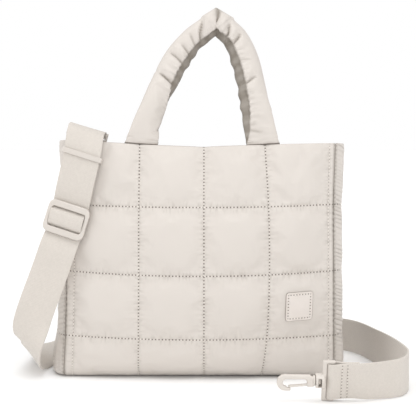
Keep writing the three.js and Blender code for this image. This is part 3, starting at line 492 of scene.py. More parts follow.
# %% Grids and what their points carry
def placed_grid(name, points, faces_out):
    """A grid mesh with its vertices at points[row, column], in millimetres, and faces along faces_out."""
    rows, columns = points.shape[:2]
    bm = bmesh.new()
    bmesh.ops.create_grid(bm, x_segments=columns - 1, y_segments=rows - 1, size=1)
    for vert in bm.verts:
        c = round((vert.co.x + 1) / 2 * (columns - 1))
        r = round((vert.co.y + 1) / 2 * (rows - 1))
        vert.co = Vector(points[r, c]) * MM
    bm.normal_update()
    middle = bm.faces[:][len(bm.faces) // 2 + columns // 2]
    if middle.normal.dot(Vector(faces_out(np.array(middle.calc_center_median()) / MM))) < 0:
        bmesh.ops.reverse_faces(bm, faces=bm.faces[:])
    mesh = bpy.data.meshes.new(name)
    bm.to_mesh(mesh)
    bm.free()
    return mesh


def fetch(items, what):
    """One vector of every item of a mesh, as rows."""
    flat = np.empty(len(items) * 3)
    items.foreach_get(what, flat)
    return flat.reshape(-1, 3)


def get_points(mesh):
    """A mesh's vertices in millimetres."""
    return fetch(mesh.vertices, "co") / MM


def set_points(mesh, points):
    """Moves a mesh's vertices to places in millimetres."""
    mesh.vertices.foreach_set("co", (np.asarray(points) * MM).ravel())
    mesh.update()


def set_attribute(mesh, name, *axes):
    """Three numbers for each vertex, kept through subdivision."""
    attribute = mesh.attributes.get(name) or mesh.attributes.new(name, "FLOAT_VECTOR", "POINT")
    attribute.data.foreach_set("vector", np.stack(np.broadcast_arrays(*axes), -1).astype(float).ravel())


def get_attribute(mesh, name):
    return fetch(mesh.attributes[name].data, "vector")


def evaluated(piece):
    """A piece's mesh with its modifiers applied, as a new mesh."""
    graph = bpy.context.evaluated_depsgraph_get()
    return bpy.data.meshes.new_from_object(piece.evaluated_get(graph))

# %% [markdown]
# The cloth step works on a throw-away copy: its Cloth modifier is stepped a few frames with the stitched
# points held still, and only the coordinates that it reaches are kept.

# %% Cloth
CLOTH_FRAMES = 18
CLOTH = {"quality": 6, "mass": 0.15, "tension_stiffness": 12, "compression_stiffness": 12,
         "shear_stiffness": 4, "air_damping": 4, "use_pressure": True}
EDGE_SHARP = 0.6


def inflate(mesh, pinned, pressure, growth, bend=0.05):
    """Coordinates that a sheet with spare cloth reaches when its pinned points are held and air fills it."""
    piece = new_object("inflating", mesh.copy())
    held = piece.vertex_groups.new(name="stitched")
    held.add([int(i) for i in np.flatnonzero(pinned)], 1.0, "REPLACE")
    cloth = piece.modifiers.new("cloth", "CLOTH")
    own = {"bending_stiffness": bend, "uniform_pressure_force": pressure, "shrink_min": -growth,
           "vertex_group_mass": held.name}
    for name, value in {**CLOTH, **own}.items():
        setattr(cloth.settings, name, value)
    cloth.settings.effector_weights.gravity = 0
    cloth.point_cache.frame_end = CLOTH_FRAMES
    for step in range(1, CLOTH_FRAMES + 1):
        scene.frame_set(step)
    shaped = evaluated(piece)
    points = get_points(shaped)
    bpy.data.objects.remove(piece)
    bpy.data.meshes.remove(shaped)
    scene.frame_set(1)
    return points


def subdivided(mesh, creased):
    """A mesh subdivided once, with the edges between creased points kept sharp."""
    edges = np.empty(len(mesh.edges) * 2, int)
    mesh.edges.foreach_get("vertices", edges)
    sharp = creased[edges.reshape(-1, 2)].all(1)
    crease = mesh.attributes.new("crease_edge", "FLOAT", "EDGE")
    crease.data.foreach_set("value", sharp.astype(float) * EDGE_SHARP)
    piece = new_object("subdividing", mesh)
    step = piece.modifiers.new("subdivision", "SUBSURF")
    step.levels = step.render_levels = 1
    fine = evaluated(piece)
    bpy.data.objects.remove(piece)
    return fine


print("cloth:", CLOTH_FRAMES, "frames for each piece")

# %% [markdown]
# A padded piece is closed like a cushion cover: an outer and an inner sheet are bridged all round their
# edges. A finished piece takes the place of its solid and rides on its body.

# %% Shells and finished pieces
def normals_of(mesh):
    return fetch(mesh.vertices, "normal")


def smooth_out(bm, mesh):
    """Turns the faces outward, smooths their shading and writes them to a mesh."""
    bmesh.ops.recalc_face_normals(bm, faces=bm.faces[:])
    for face in bm.faces:
        face.smooth = True
    bm.to_mesh(mesh)
    bm.free()


def shell(name, outer, inner, finish):
    """One closed piece from an outer and an inner sheet, bridged all round their edges."""
    bm = bmesh.new()
    bm.from_mesh(outer)
    bm.from_mesh(inner)
    bmesh.ops.bridge_loops(bm, edges=[edge for edge in bm.edges if edge.is_boundary])
    print(name, sum(edge.is_boundary for edge in bm.edges), "open edges")
    mesh = bpy.data.meshes.new(name)
    smooth_out(bm, mesh)
    return new_object(name, mesh, finish)


def dressed(piece, node, body):
    """Lets a piece ride on a body in place of a solid."""
    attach(piece, body)
    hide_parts(node)
    print(piece.name, len(piece.data.polygons), "faces")
    return piece

# %% [markdown]
# Stitches are many and tiny, so each seam only notes where they lie, and one mesh for each seam group is
# joined from arrays afterwards: a low round grain of thread, repeated along the line between the needle
# holes.

# %% Stitches
STITCH_LONG, STITCH_WIDE, STITCH_TALL, STITCH_UP = 2.4, 1.2, 1.0, 0.5
stitch_lines = {"quilting": [], "patch": [], "strap": []}


def stitch_line(group, run, points, normals, first=-math.inf, last=math.inf, pitch=STITCH_PITCH):
    """Notes stitches halfway between the holes, which lie at whole pitches of the run along a line."""
    order = np.argsort(run)
    run, points, normals = np.asarray(run)[order], points[order], normals[order]
    first, last = max(first, run[0] + pitch), min(last, run[-1] - pitch)
    places = (np.arange(math.ceil(first / pitch), math.floor(last / pitch)) + 0.5) * pitch
    at = np.stack([np.interp(places, run, points[:, k]) for k in range(3)], -1)
    out = unit(np.stack([np.interp(places, run, normals[:, k]) for k in range(3)], -1))
    along = unit(np.gradient(at, axis=0))
    stitch_lines[group].append((at, along, out))


def stitches(group):
    """One mesh of all the stitches of a group."""
    at, along, out = [np.concatenate(parts) for parts in zip(*stitch_lines[group])]
    beside = unit(np.cross(out, along))
    bm = bmesh.new()
    bmesh.ops.create_uvsphere(bm, u_segments=6, v_segments=4, radius=0.5)
    grain = np.array([vert.co for vert in bm.verts])
    faces = [[vert.index for vert in face.verts] for face in bm.faces]
    bm.free()
    sides = [(beside, STITCH_WIDE, 0), (out, STITCH_TALL, 1), (along, STITCH_LONG, 2)]
    points = (at + out * STITCH_UP)[:, None] + sum(
        axis[:, None] * (grain[:, k] * size)[None, :, None] for axis, size, k in sides)
    mesh = bpy.data.meshes.new("stitches_" + group)
    count = len(grain)
    mesh.from_pydata((points.reshape(-1, 3) * MM).tolist(), [],
                     [[v + i * count for v in face] for i in range(len(at)) for face in faces])
    for polygon in mesh.polygons:
        polygon.use_smooth = True
    piece = new_object(mesh.name, mesh, thread)
    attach(piece, "bag")
    print(piece.name, len(at), "stitches")
# %% [markdown]
# The body's own sheet is pinned on its stitched lines, its base, its rim and its two side edges. After
# the simulation it is subdivided once, with the stitched lines kept as creases, and small puckers are
# added beside them. The front panel also gets a smooth seat where the patch is sewn on.

# %% Puckers and the patch's seat
PUCKER_WAVE, PUCKER_REACH, PUCKER_DEPTH, PUCKER_START = 6.0, 6.5, 0.6, 1.5
FAR = 60
START_LOFT, LOFT_MOST = 0.7, 7.5
BODY_AIR, BODY_SPARE = 1.0, 0.022
EDGE_EASE = 1.4
# The last two set the shade painted along the side seams: how dark, and how far it reaches.
BORDER_FROM, BORDER_FAINT, SEAM_PAINTED_SHADE, SEAM_WIDE = 0.9, 0.55, 0.75, 2.4
INNER_STEP = 4
PATCH_X, PATCH_Z, PATCH_SLOPE, PATCH_LEAN = 107.3, 82.5, 0.045, 0.03
PATCH_THICK, PATCH_SEAT, PATCH_EASE = 2.0, 0.4, 7


def nearest(values, marks):
    """Distance from each value to the nearest mark."""
    return np.abs(values[..., None] - np.array(marks, float)).min(-1)


def ripple(along, seed):
    """Uneven waves along a line, from -1 to 1."""
    shift = 2.1 * np.sin(along / 23 + seed) + 1.3 * np.sin(along / 11.3 + 2 * seed)
    return np.sin(2 * math.pi * along / PUCKER_WAVE + shift) * (0.55 + 0.45 * np.sin(along / 17 + 3 * seed))


def lengths(points):
    """How far along a line of points each of them lies."""
    return np.concatenate([[0], np.cumsum(np.linalg.norm(np.diff(points, axis=0), axis=1))])


def unstitched(mesh):
    """Marks a lining as far from any stitched line, and out of the shade."""
    nothing = np.zeros(len(mesh.vertices))
    set_attribute(mesh, "quilt", FAR, FAR, nothing)
    set_attribute(mesh, "run", 0, 0, nothing)


def puckers(mesh):
    """Moves points beside stitched lines in and out, in waves across the line."""
    gap, run = get_attribute(mesh, "quilt"), get_attribute(mesh, "run")
    depth = np.zeros(len(gap))
    for axis in (0, 1):
        near = np.clip(gap[:, axis] / PUCKER_START, 0, 1) * np.exp(-gap[:, axis] / PUCKER_REACH)
        depth += PUCKER_DEPTH * near * ripple(run[:, axis], axis + 1)
    set_points(mesh, get_points(mesh) + normals_of(mesh) * depth[:, None])


def patch_place(x, z):
    """Places in the patch's own slanting frame, from its middle."""
    x, z = x - PATCH_X, z - PATCH_Z
    return x - z * PATCH_LEAN, z - x * PATCH_SLOPE


def patch_terms(u, v):
    """Terms of the curved surface that the patch lies on."""
    return np.stack([np.ones(u.shape), u, v, u * u, u * v, v * v], -1)


def pressed(points):
    """The front panel with a smooth seat pressed in where the patch is sewn on, and the seat's shape."""
    u, v = patch_place(points[:, 0], points[:, 2])
    off = np.maximum(np.maximum(np.abs(u) - PATCH_WIDE / 2, np.abs(v) - PATCH_TALL / 2), 0)
    near = (off < PATCH_EASE) & (points[:, 1] < 0)
    inside = near & (off == 0)
    seat = np.linalg.lstsq(patch_terms(u[inside], v[inside]), points[inside, 1], rcond=None)[0]
    share = 1 - smoothstep(off[near], 0, PATCH_EASE)
    points[near, 1] += share * (patch_terms(u[near], v[near]) @ seat + PATCH_SEAT - points[near, 1])
    return points, seat

# %% [markdown]
# The sheet is laid out with its distances to every stitched line. Then it swells, the seat is pressed in,
# its stitches are noted, and a plain lining closes it from inside.

# %% The body
flat_body = wrap_point(GRID_A, GRID_G, GRID_S)
out_body = wrap_normal(GRID_A, GRID_G, GRID_S)
rise_body = column_loft(GRID_A) * row_loft(GRID_G)
start_body = flat_body + out_body * (rise_body * START_LOFT)[..., None]
start_body[..., 2] = np.maximum(start_body[..., 2], 0)
girth_mm = lengths(flat_body[:, len(across) // 2])
run_column = np.broadcast_to(girth_mm[:, None], GRID_A.shape)
to_edge = 1 - np.abs(GRID_A)
to_column = np.minimum(nearest(GRID_A, COLUMNS[1:-1]), to_edge + EDGE_EASE / HALF_WIDTH) * HALF_WIDTH
to_column = to_column + np.where(np.abs(GRID_A) > BORDER_FROM, BORDER_FAINT, 0)
to_row = nearest(run_column, girth_mm[np.isin(girth, SEWN_BANDS)])
# Painted shade along the body's side seams.
seam_shade = SEAM_PAINTED_SHADE * (1 - smoothstep(to_edge * HALF_WIDTH, 0, SEAM_WIDE))
on_column, on_row = np.isin(GRID_A, COLUMNS), np.isin(GRID_G, SEWN_BANDS)
held = on_column | on_row | (GRID_G <= FOOT_BAND) | (GRID_G == RIM)
stitched = (on_column & (GRID_G > FOOT_BAND)) | on_row

body_sheet = placed_grid("body", start_body, lambda p: (0, 0, -1) if p[2] < 1 else (0, p[1], 0))
set_attribute(body_sheet, "quilt", to_column, to_row, seam_shade)
set_attribute(body_sheet, "run", run_column, GRID_A * HALF_WIDTH, 0)
print("body sheet:", len(body_sheet.vertices), "points")

swelled = inflate(body_sheet, held.ravel(), BODY_AIR, BODY_SPARE)
base, out = flat_body.reshape(-1, 3), out_body.reshape(-1, 3)
rise = ((swelled - base) * out).sum(1)
swelled += out * (np.clip(rise, 0, LOFT_MOST) - rise)[:, None]
swelled[:, 2] = np.maximum(swelled[:, 2], 0)
print("loft after the simulation:", round(float(rise.max()), 1), "mm at most")
set_points(body_sheet, swelled)
seated, patch_seat = pressed(get_points(body_sheet))
set_points(body_sheet, seated)
for c in np.flatnonzero(np.isin(across[1:-1], COLUMNS)) + 1:
    for wall in (slice(0, len(girth_up) - BAND_STEPS[0]), slice(len(girth_up) + BAND_STEPS[0], None)):
        stitch_line("quilting", girth_mm[wall], flat_body[wall, c], out_body[wall, c])
for r in np.flatnonzero(np.isin(girth, SEWN_BANDS)):
    stitch_line("quilting", GRID_A[r] * HALF_WIDTH, flat_body[r], out_body[r])
body_fine = subdivided(body_sheet, stitched.ravel())
puckers(body_fine)
set_points(body_fine, np.maximum(get_points(body_fine), (-math.inf, -math.inf, 0)))

picked = np.ix_(*[sorted({*range(0, count, INNER_STEP), count - 1}) for count in GRID_A.shape])
inner_body = (flat_body - out_body * WALL)[picked]
inner_body[:, [0, -1], 0] = flat_body[picked][:, [0, -1], 0]
body_lining = placed_grid("body_lining", inner_body, lambda p: (0, 0, 1) if p[2] < 5 else (0, -p[1], 0))
unstitched(body_lining)
body = dressed(shell("body_quilted", body_fine, body_lining, nylon), "body", "bag")

# %% [markdown]
# ## Side gussets
# A gusset is a narrow padded panel sewn to the front and the back of the wrap. Its edge is gathered as it
# is sewn, so fine folds run slanting away from the seam. It is simulated like the body, and the folds are
# added afterwards.

# %% Shape of a gusset
GAP = 0.3
GUSSET_LIFT, GUSSET_SWELL, GUSSET_ROUND, GUSSET_LOFT = 0.6, 9.6, 3, 2.2
GUSSET_LINE, GUSSET_BORDER, GUSSET_RISE, GUSSET_SAG, GUSSET_EDGE = 0.5, 0.8, 6, 1, 8
GUSSET_FLARE, GUSSET_FLARE_TOP = {-1: 4.5, 1: 1}, 70
GUSSET_WAIST, WAIST_AT, WAIST_SPAN = {-1: 5, 1: 0}, 208, 38
GATHER_WAVE, GATHER_SLANT, GATHER_REACH, GATHER_THIN = 4.6, 0.9, 26.0, 5
# The last pair is the shade painted into the gathers' creases, for each side.
GATHER_DEPTH, GATHER_SHADE = {-1: 0.6, 1: 1.6}, {-1: 0.25, 1: 0.7}
GUSSET_MOST = 2.2
GATHER_LIFT, GATHER_START = 0.2, 2
GUSSET_HALF, EDGE_THIN = 52, 0.01
GUSSET_STEPS, LEVEL_STEPS, LINING_ROW, LINING_COLUMN = [20, 14, 20], [42, 60, 62, 61], 8, 2
GUSSET_AIR, GUSSET_SPARE = 1.0, 0.02


def edge_depth(z):
    """Half the wrap's depth at a height, along its side seam."""
    foot = FOOT_RADIUS ** 2 - (FOOT_RADIUS - np.minimum(z, FOOT_RADIUS)) ** 2
    return np.where(z < FOOT_RADIUS, BASE_HALF + np.sqrt(foot), read(OUTLINE, "z", "depth", z))


def gusset_point(side, share, z, thick):
    """Places on a gusset, in millimetres, from shares of the depth and heights."""
    rise = np.sqrt(1 - (1 - np.clip(z / GUSSET_RISE, 0, 1)) ** 2)
    flare = GUSSET_FLARE[side] * (1 - smoothstep(z, 0, GUSSET_FLARE_TOP))
    waist = GUSSET_WAIST[side] * np.exp(-(((z - WAIST_AT) / WAIST_SPAN) ** 2))
    swell = (GUSSET_SWELL + flare - waist) * (1 - np.abs(share) ** GUSSET_ROUND) * rise
    x = seam_at(np.full(z.shape, side), z) + GAP + swell + thick
    fall = RIM_FALL if side > 0 else 0
    dip = (GUSSET_SAG * (1 - share ** 2) + fall) * smoothstep(z, ROWS[2]["z"], ROWS[3]["z"])
    return np.stack([side * x, share * edge_depth(z), z - dip], -1)

# %% [markdown]
# The folds are pulled in after the simulation, deepest near the seam, and shade is painted along their
# creases and along the seam. The rest is made as for the body: a sheet, its swell, its stitches and a lining.

# %% The gussets
def gathered(mesh, side):
    """Pulls slanting folds into a gusset beside its seams, and paints shade into the folds and along the
    seams.
    """
    run, gaps, points = get_attribute(mesh, "run"), get_attribute(mesh, "quilt"), get_points(mesh)
    edge = run[:, 2]
    bulge = 1 - np.maximum(1 - edge / GUSSET_HALF, 0) ** GUSSET_ROUND
    slanted = run[:, 0] + GATHER_SLANT * GUSSET_SWELL * bulge
    wave = slanted / GATHER_WAVE + 0.5 * np.sin(slanted / 19 + side) + 0.3 * np.sin(slanted / 7.3)
    crease = np.abs(2 * (wave % 1) - 1) ** GATHER_THIN
    uneven = 0.6 + 0.4 * np.sin(slanted / 9.7 + 1.7 * np.sin(slanted / 23))
    near = np.exp(-((edge / GATHER_REACH) ** 2)) * uneven
    lift = np.clip(edge / GATHER_START, 0, 1) * (GATHER_LIFT - crease)
    points[:, 0] += side * GATHER_DEPTH[side] * near * lift
    set_points(mesh, points)
    # Painted shade in the creases of the gathers, and along the seam in dashes like its stitches.
    dashed = 0.75 + 0.25 * np.sin(2 * math.pi * run[:, 0] / GATHER_WAVE)
    seam = SEAM_PAINTED_SHADE * dashed * (1 - smoothstep(edge, 0, SEAM_WIDE))
    set_attribute(mesh, "quilt", gaps[:, 0], gaps[:, 1], np.maximum(GATHER_SHADE[side] * near * crease, seam))


def gusset(side, name):
    """One padded side panel, stitched along two lines and in rows."""
    lines = [-1, -GUSSET_LINE, GUSSET_LINE, 1]
    heights = [GUSSET_LIFT] + [row["z"] for row in ROWS]
    shares, levels = between(lines, GUSSET_STEPS), between(heights, LEVEL_STEPS)
    share, z = np.meshgrid(shares, levels)
    beside = np.abs(share) > GUSSET_LINE
    part = np.where(beside, (1 - np.abs(share)) / (1 - GUSSET_LINE), (share / GUSSET_LINE + 1) / 2)
    i = np.clip(np.searchsorted(heights, z, side="right") - 1, 0, len(heights) - 2)
    marks = np.array(heights)
    up = (z - marks[i]) / (marks[i + 1] - marks[i])
    up = np.where(i == len(heights) - 2, up * RIM_SHARE, up)
    loft = GUSSET_LOFT * np.where(beside, GUSSET_BORDER, 1) * pillow(part) * pillow(up)
    gap_edge = (1 - np.abs(share)) * GUSSET_HALF
    thick = WALL * np.sqrt(np.clip(gap_edge / GUSSET_EDGE, EDGE_THIN, 1))
    flat = gusset_point(side, share, z, thick)
    out = np.array([side, 0, 0])
    sheet = placed_grid(name, flat + out * (loft * START_LOFT)[..., None], lambda p: out)
    gap_line = np.minimum(nearest(share, lines[1:-1]) * GUSSET_HALF, gap_edge + EDGE_EASE)
    set_attribute(sheet, "quilt", gap_line, nearest(z, heights[1:-1]), 0)
    set_attribute(sheet, "run", z, share * GUSSET_HALF, gap_edge)
    on_line, on_level = np.isin(share, lines), np.isin(z, heights[1:-1])
    held = on_line | on_level | (z == heights[0]) | (z == heights[-1])
    swelled = inflate(sheet, held.ravel(), GUSSET_AIR, GUSSET_SPARE)
    rise = (swelled[:, 0] - flat.reshape(-1, 3)[:, 0]) * side
    swelled[:, 0] += side * (np.clip(rise, 0, GUSSET_MOST) - rise)
    set_points(sheet, swelled)
    print(name, "loft:", round(float(rise.max()), 1), "mm at most")
    fine = subdivided(sheet, (on_line | on_level).ravel())
    gathered(fine, side)
    puckers(fine)
    rows = [*range(0, len(levels), LINING_ROW), len(levels) - 1]
    inner = gusset_point(side, share[rows, ::LINING_COLUMN], z[rows, ::LINING_COLUMN], 0)
    lining = placed_grid(name + "_lining", inner, lambda p: -out)
    unstitched(lining)
    outward = np.broadcast_to(out, flat.shape)
    for c in np.flatnonzero(np.isin(shares, lines[1:-1])):
        stitch_line("quilting", z[:, c], flat[:, c], outward[:, c])
    for r in np.flatnonzero(np.isin(levels, heights[1:-1])):
        stitch_line("quilting", share[r] * GUSSET_HALF, flat[r], outward[r])
    piece = dressed(shell(name + "_quilted", fine, lining, nylon), name, "bag")


gusset(-1, "gusset_left")
gusset(1, "gusset_right")

# %% [markdown]
# ## Tube handles
# A handle is a strip of the same cloth sewn into a tube over thick wadding, so its seam stands up as a
# thin edge. On the front it turns from the inner side of the left leg to the face of the arch, and inside
# it the cloth lies in scallops, with shade painted on it. Bent into an arch, the tube buckles into pleats
# that run from the seam to the outer side, with shade painted along their creases. The tables give the
# arch, the turn of the seam and the pleats; the simulation then slackens the cloth between them.

# %% Shape of the handles
ARCH = [
    (-64, 254.8, 37, 5), (-59, 278, 29.5, 14), (-52, 298, 26, 21), (-39.5, 326, 27, 25), (-25.5, 352, 28, 26),
    (-8.5, 374, 25, 26), (8, 387, 24, 26), (18.5, 395.5, 27, 24), (27.5, 386.5, 24, 26), (39, 374.5, 25, 26),
    (48, 354, 28, 26), (55.5, 327, 29, 25), (61.5, 298, 32, 20), (65.5, 273, 34, 12), (69, 254.8, 37, 5),
]
HANDLE = table("at x z wide thick", *[(at, *row) for at, row in enumerate(ARCH)])
SEAM_TURN = table(
    "at turn",
    (0, -15), (1.6, -15), (2.1, 10), (2.8, 52), (3.5, 62), (7, 58), (9.4, 72), (11, 74), (12.4, 66),
    (13.3, 45), (14, 10),
)
PLEATS = table(
    "at out round dip fan",
    (7.1, 6.93, 3.0, 0.26, 0.75), (5.19, 5.9, 1.5, 0.36, 0), (8.64, 8.13, 1.1, 0.3, 0),
    (9.39, 9.01, 1.1, 0.32, 0), (4.3, 4.44, 0.9, 0.22, 0), (3.82, 3.97, 1.4, 0.24, 0),
    (2.92, 3.1, 1.35, 0.38, 0), (11.21, 11.01, 0.8, 0.3, 0), (4.75, 5.0, 1.0, 0.18, 0),
    (10.3, 10.35, 0.8, 0.12, 0), (1.0, 0.8, 0.8, 0.12, 0), (13.0, 13.2, 0.8, 0.12, 0),
)
# Shade is painted along each pleat's crease; its strength, width and upper limit are among these values.
PLEAT_SHARP, PLEAT_SOFT, PLEAT_PUFF, PLEAT_SHADE = 1.1, 3.2, 0.24, 3.6
PLEAT_LINE, PLEAT_FADE, PAINTED_SHADE_MOST = 1.3, (0.6, 1.1), 0.9
PUFF_AT, PUFF_SPAN = 9, 4.5
PEAK, PEAK_REACH = 0.36, 7.0
HANDLE_FOOT_Y, HANDLE_TOP_Y, HANDLE_APEX = -56.5, -18, 7
BACK_SPREAD, BACK_RISE = 1.09, 1.03
HANDLE_LONG = 300
FOOT_BLEND = 14 / 33
RIDGE, RIDGE_OUT, RIDGE_IN = 0.16, 0.45, 0.15
INNER_SWELL, INNER_AT, INNER_SPAN = 0.13, -1.05, 0.5
VALLEY_DIP, VALLEY_AT, VALLEY_SPAN = 0.07, -0.32, 0.2
SCALLOP, SCALLOP_WAVE = 0.05, 24
FLAT_THICK, FULL_THICK = 8, 20
HANDLE_AWAY = np.array([0, .07, .15, .27, .45, .66, .9, 1.14, 1.38, 1.63, 1.88, 2.13, 2.38, 2.63, 2.88,
                        math.pi])
last = len(HANDLE) - 1


def handle_centre(at, spread=1, rise=1):
    """Middle of the tube along the front arch, or along one that stands wider and higher."""
    x, z = read(HANDLE, "at", "x", at), read(HANDLE, "at", "z", at)
    foot = HANDLE[0]["z"]
    z = foot + rise * (z - foot)
    lean = smoothstep(z, foot, HANDLE[HANDLE_APEX]["z"])
    return np.stack([spread * x, HANDLE_FOOT_Y + (HANDLE_TOP_Y - HANDLE_FOOT_Y) * lean, z], -1)


arch = np.linspace(0, last, HANDLE_LONG + 1)
arch_mm = lengths(handle_centre(arch))


def arch_run(at):
    """Millimetres along the arch, from places in its table."""
    return np.interp(at, arch, arch_mm)


def pleated(at, away):
    """How far the pleats pull the cloth in, as a share of the section, and how much shade is painted on them.
    """
    pull = np.zeros(np.broadcast_shapes(at.shape, away.shape))
    dark = pull.copy()
    for pleat in PLEATS:
        share = np.clip(away / pleat["round"], 0, 1)
        off = arch_run(at) - arch_run(pleat["at"] + (pleat["out"] - pleat["at"]) * share)
        off = off / (1 - pleat["fan"] * share)
        steep = np.where(off * (pleat["at"] - HANDLE_APEX) > 0, PLEAT_SHARP, PLEAT_SOFT)
        fold = np.exp(-np.abs(off) / steep)
        puff = PLEAT_PUFF * np.exp(-(((np.abs(off) - PUFF_AT) / PUFF_SPAN) ** 2))
        start, end = [part * pleat["round"] for part in PLEAT_FADE]
        reach = np.where(away < 0, np.exp(away / RIDGE_IN), 1 - smoothstep(away, start, end))
        pull = pull + pleat["dip"] * (fold - puff) * reach
        # Painted shade along the pleat's crease.
        dark = np.maximum(dark, PLEAT_SHADE * pleat["dip"] * np.exp(-((off / PLEAT_LINE) ** 2)) * reach)
    return pull, np.minimum(dark, PAINTED_SHADE_MOST)


def handle_rings(at, away):
    """Rings round the arch: rows along it, columns round it from the seam."""
    at, away = at[:, None], away[None, :]
    angle = away + np.radians(read(SEAM_TURN, "at", "turn", at))
    centre = handle_centre(at)
    along = unit(handle_centre(np.minimum(at + NEAR, last)) - handle_centre(np.maximum(at - NEAR, 0)))
    front = unit(np.array([0, -1, 0]) + along * along[..., 1:2])
    inside = unit(np.cross(along, front))
    wide, thick = read(HANDLE, "at", "wide", at), read(HANDLE, "at", "thick", at)
    edge = RIDGE * np.where(away < 0, np.exp(away / RIDGE_IN), np.exp(-away / RIDGE_OUT))
    inner = np.exp(-(((away - INNER_AT) / INNER_SPAN) ** 2))
    run = arch_run(at)
    scallop = SCALLOP * np.sin(2 * math.pi * run / SCALLOP_WAVE + 2.2 * np.sin(run / 21) + np.sin(run / 9))
    peak = PEAK * np.exp(-np.abs(run - arch_run(HANDLE_APEX)) / PEAK_REACH)
    valley = VALLEY_DIP * np.exp(-(((away - VALLEY_AT) / VALLEY_SPAN) ** 2))
    swell = smoothstep(thick, FLAT_THICK, FULL_THICK) * (edge + inner * (INNER_SWELL + scallop) - valley)
    reach = 1 + swell - pleated(at, away)[0] + peak * smoothstep(-np.cos(angle), 0.2, 1)
    across, deep = reach * np.cos(angle) * wide / 2, reach * np.sin(angle) * thick / 2
    return centre + inside * across[..., None] + front * deep[..., None]


def handle_foot(end, away, turn):
    """The flat ring where the tube is sewn into the rim."""
    row = HANDLE[end]
    angle = away + math.radians(SEAM_TURN[0 if end == 0 else -1]["turn"])
    x = row["x"] + turn * np.cos(angle) * row["wide"] / 2
    y = HANDLE_FOOT_Y - np.sin(angle) * row["thick"] / 2
    return np.stack([x, y, row_height(np.full(x.shape, RIM_ROW), x / HALF_WIDTH) + 1.5 * GAP], -1)


print("handle:", round(float(arch_mm[-1])), "mm along the arch")

# %% [markdown]
# The grid of rings is closed into a tube by merging its two edges. The seam edge and the sewn ends are
# pinned while the cloth swells, and the bent top is pressed under a gable. The back handle is the same
# tube turned to the back and opened out along a wider arch.

# %% The handles
HANDLE_AIR, HANDLE_SPARE, HANDLE_BEND, SLACK_MOST = 2.2, 0.04, 0.02, 0.8
ROOF_X, ROOF_Z, ROOF_SLOPE, ROOF_ROUND, ROOF_SOFT = 17.7, 409.5, 0.6, 40, 0.5
PIN_WIDE, SEAM_RADIUS, HANDLE_MERGE = 0.1, 13, 1e-5
# Shade is painted on the handles' inner side, set by how far the cloth turns from the seam.
SHADE_FROM, SHADE_TO = (0.02, 0.16), (1.7, 2.4)


def under_roof(points):
    """The bent top of the tube pressed under a roof of two slopes, rounded from front to back."""
    slope = ROOF_SLOPE * np.abs(points[:, 0] - ROOF_X)
    roof = ROOF_Z - slope - (points[:, 1] - HANDLE_TOP_Y) ** 2 / ROOF_ROUND
    over = np.log1p(np.exp(np.clip((points[:, 2] - roof) / ROOF_SOFT, -20, 20)))
    points[:, 2] -= ROOF_SOFT * over
    return points


def handle(name, spread, rise, front):
    """The tube along its own arch with its ends closed; front is 1, or -1 to turn it to the back."""
    mesh = handle_fine.copy()
    mesh.name = name + "_padded"
    place = get_attribute(mesh, "place")[:, 0]
    points = get_points(mesh) + handle_centre(place, spread, rise) - handle_centre(place)
    set_points(mesh, points * np.array([1, front, 1]))
    bm = bmesh.new()
    bm.from_mesh(mesh)
    bmesh.ops.holes_fill(bm, edges=[edge for edge in bm.edges if edge.is_boundary], sides=0)
    smooth_out(bm, mesh)
    piece = dressed(new_object(mesh.name, mesh, nylon), name, "bag")


away = np.concatenate([HANDLE_AWAY, HANDLE_AWAY[-2::-1] * -1])
rings = handle_rings(arch, away)
for end, turn in ((0, 1), (last, -1)):
    foot = handle_foot(end, away, turn)
    blend = handle_rings(np.array([abs(end - FOOT_BLEND)]), away)[0]
    share = np.clip(np.abs(arch - end) / FOOT_BLEND, 0, 1)[:, None, None]
    rings = np.where(share < 1, foot * (1 - share) + blend * share, rings)
middle = handle_centre(np.array(last / 2))
handle_sheet = placed_grid("handle", rings, lambda p: p - middle)
shape = rings.shape[:2]
pin = np.zeros(shape)
pin[:, np.abs(away) < PIN_WIDE] = 1
pin[[0, 1, -2, -1], :] = 1
# Painted shade on the inner side, in uneven waves along the arch, and along the pleat creases.
shaded = smoothstep(-away, *SHADE_FROM) * (1 - smoothstep(-away, *SHADE_TO))
wrinkled = 0.9 + 0.1 * np.sin(arch_mm / 2.3 + 2 * np.sin(arch_mm / 13))[:, None]
shaded = np.maximum(shaded[None] * wrinkled, pleated(arch[:, None], away[None])[1])
seam_gap = np.abs(away) * SEAM_RADIUS + EDGE_EASE
# Near each sewn end this paints a dark shadow line where the tube meets the rim.
foot_shadow_gap = np.minimum(arch_mm, arch_mm[-1] - arch_mm)[:, None] / 2
set_attribute(handle_sheet, "quilt", seam_gap, foot_shadow_gap, shaded)
set_attribute(handle_sheet, "run", arch_mm[:, None], 0, pin)
set_attribute(handle_sheet, "place", arch[:, None], 0, pin)
bm = bmesh.new()
bm.from_mesh(handle_sheet)
bmesh.ops.remove_doubles(bm, verts=bm.verts[:], dist=HANDLE_MERGE)
smooth_out(bm, handle_sheet)
start = get_points(handle_sheet)
pinned = get_attribute(handle_sheet, "run")[:, 2] > 0.5
step = inflate(handle_sheet, pinned, HANDLE_AIR, HANDLE_SPARE, HANDLE_BEND) - start
far = np.linalg.norm(step, axis=1, keepdims=True)
print("handle moved:", round(float(far.max()), 1), "mm at most")
set_points(handle_sheet, start + step * np.minimum(1, SLACK_MOST / np.maximum(far, 1e-6)))
handle_fine = subdivided(handle_sheet, np.zeros(len(handle_sheet.vertices), bool))
puckers(handle_fine)
set_points(handle_fine, under_roof(get_points(handle_fine)))
handle("handle_front", 1, 1, 1)
handle("handle_back", BACK_SPREAD, BACK_RISE, -1)

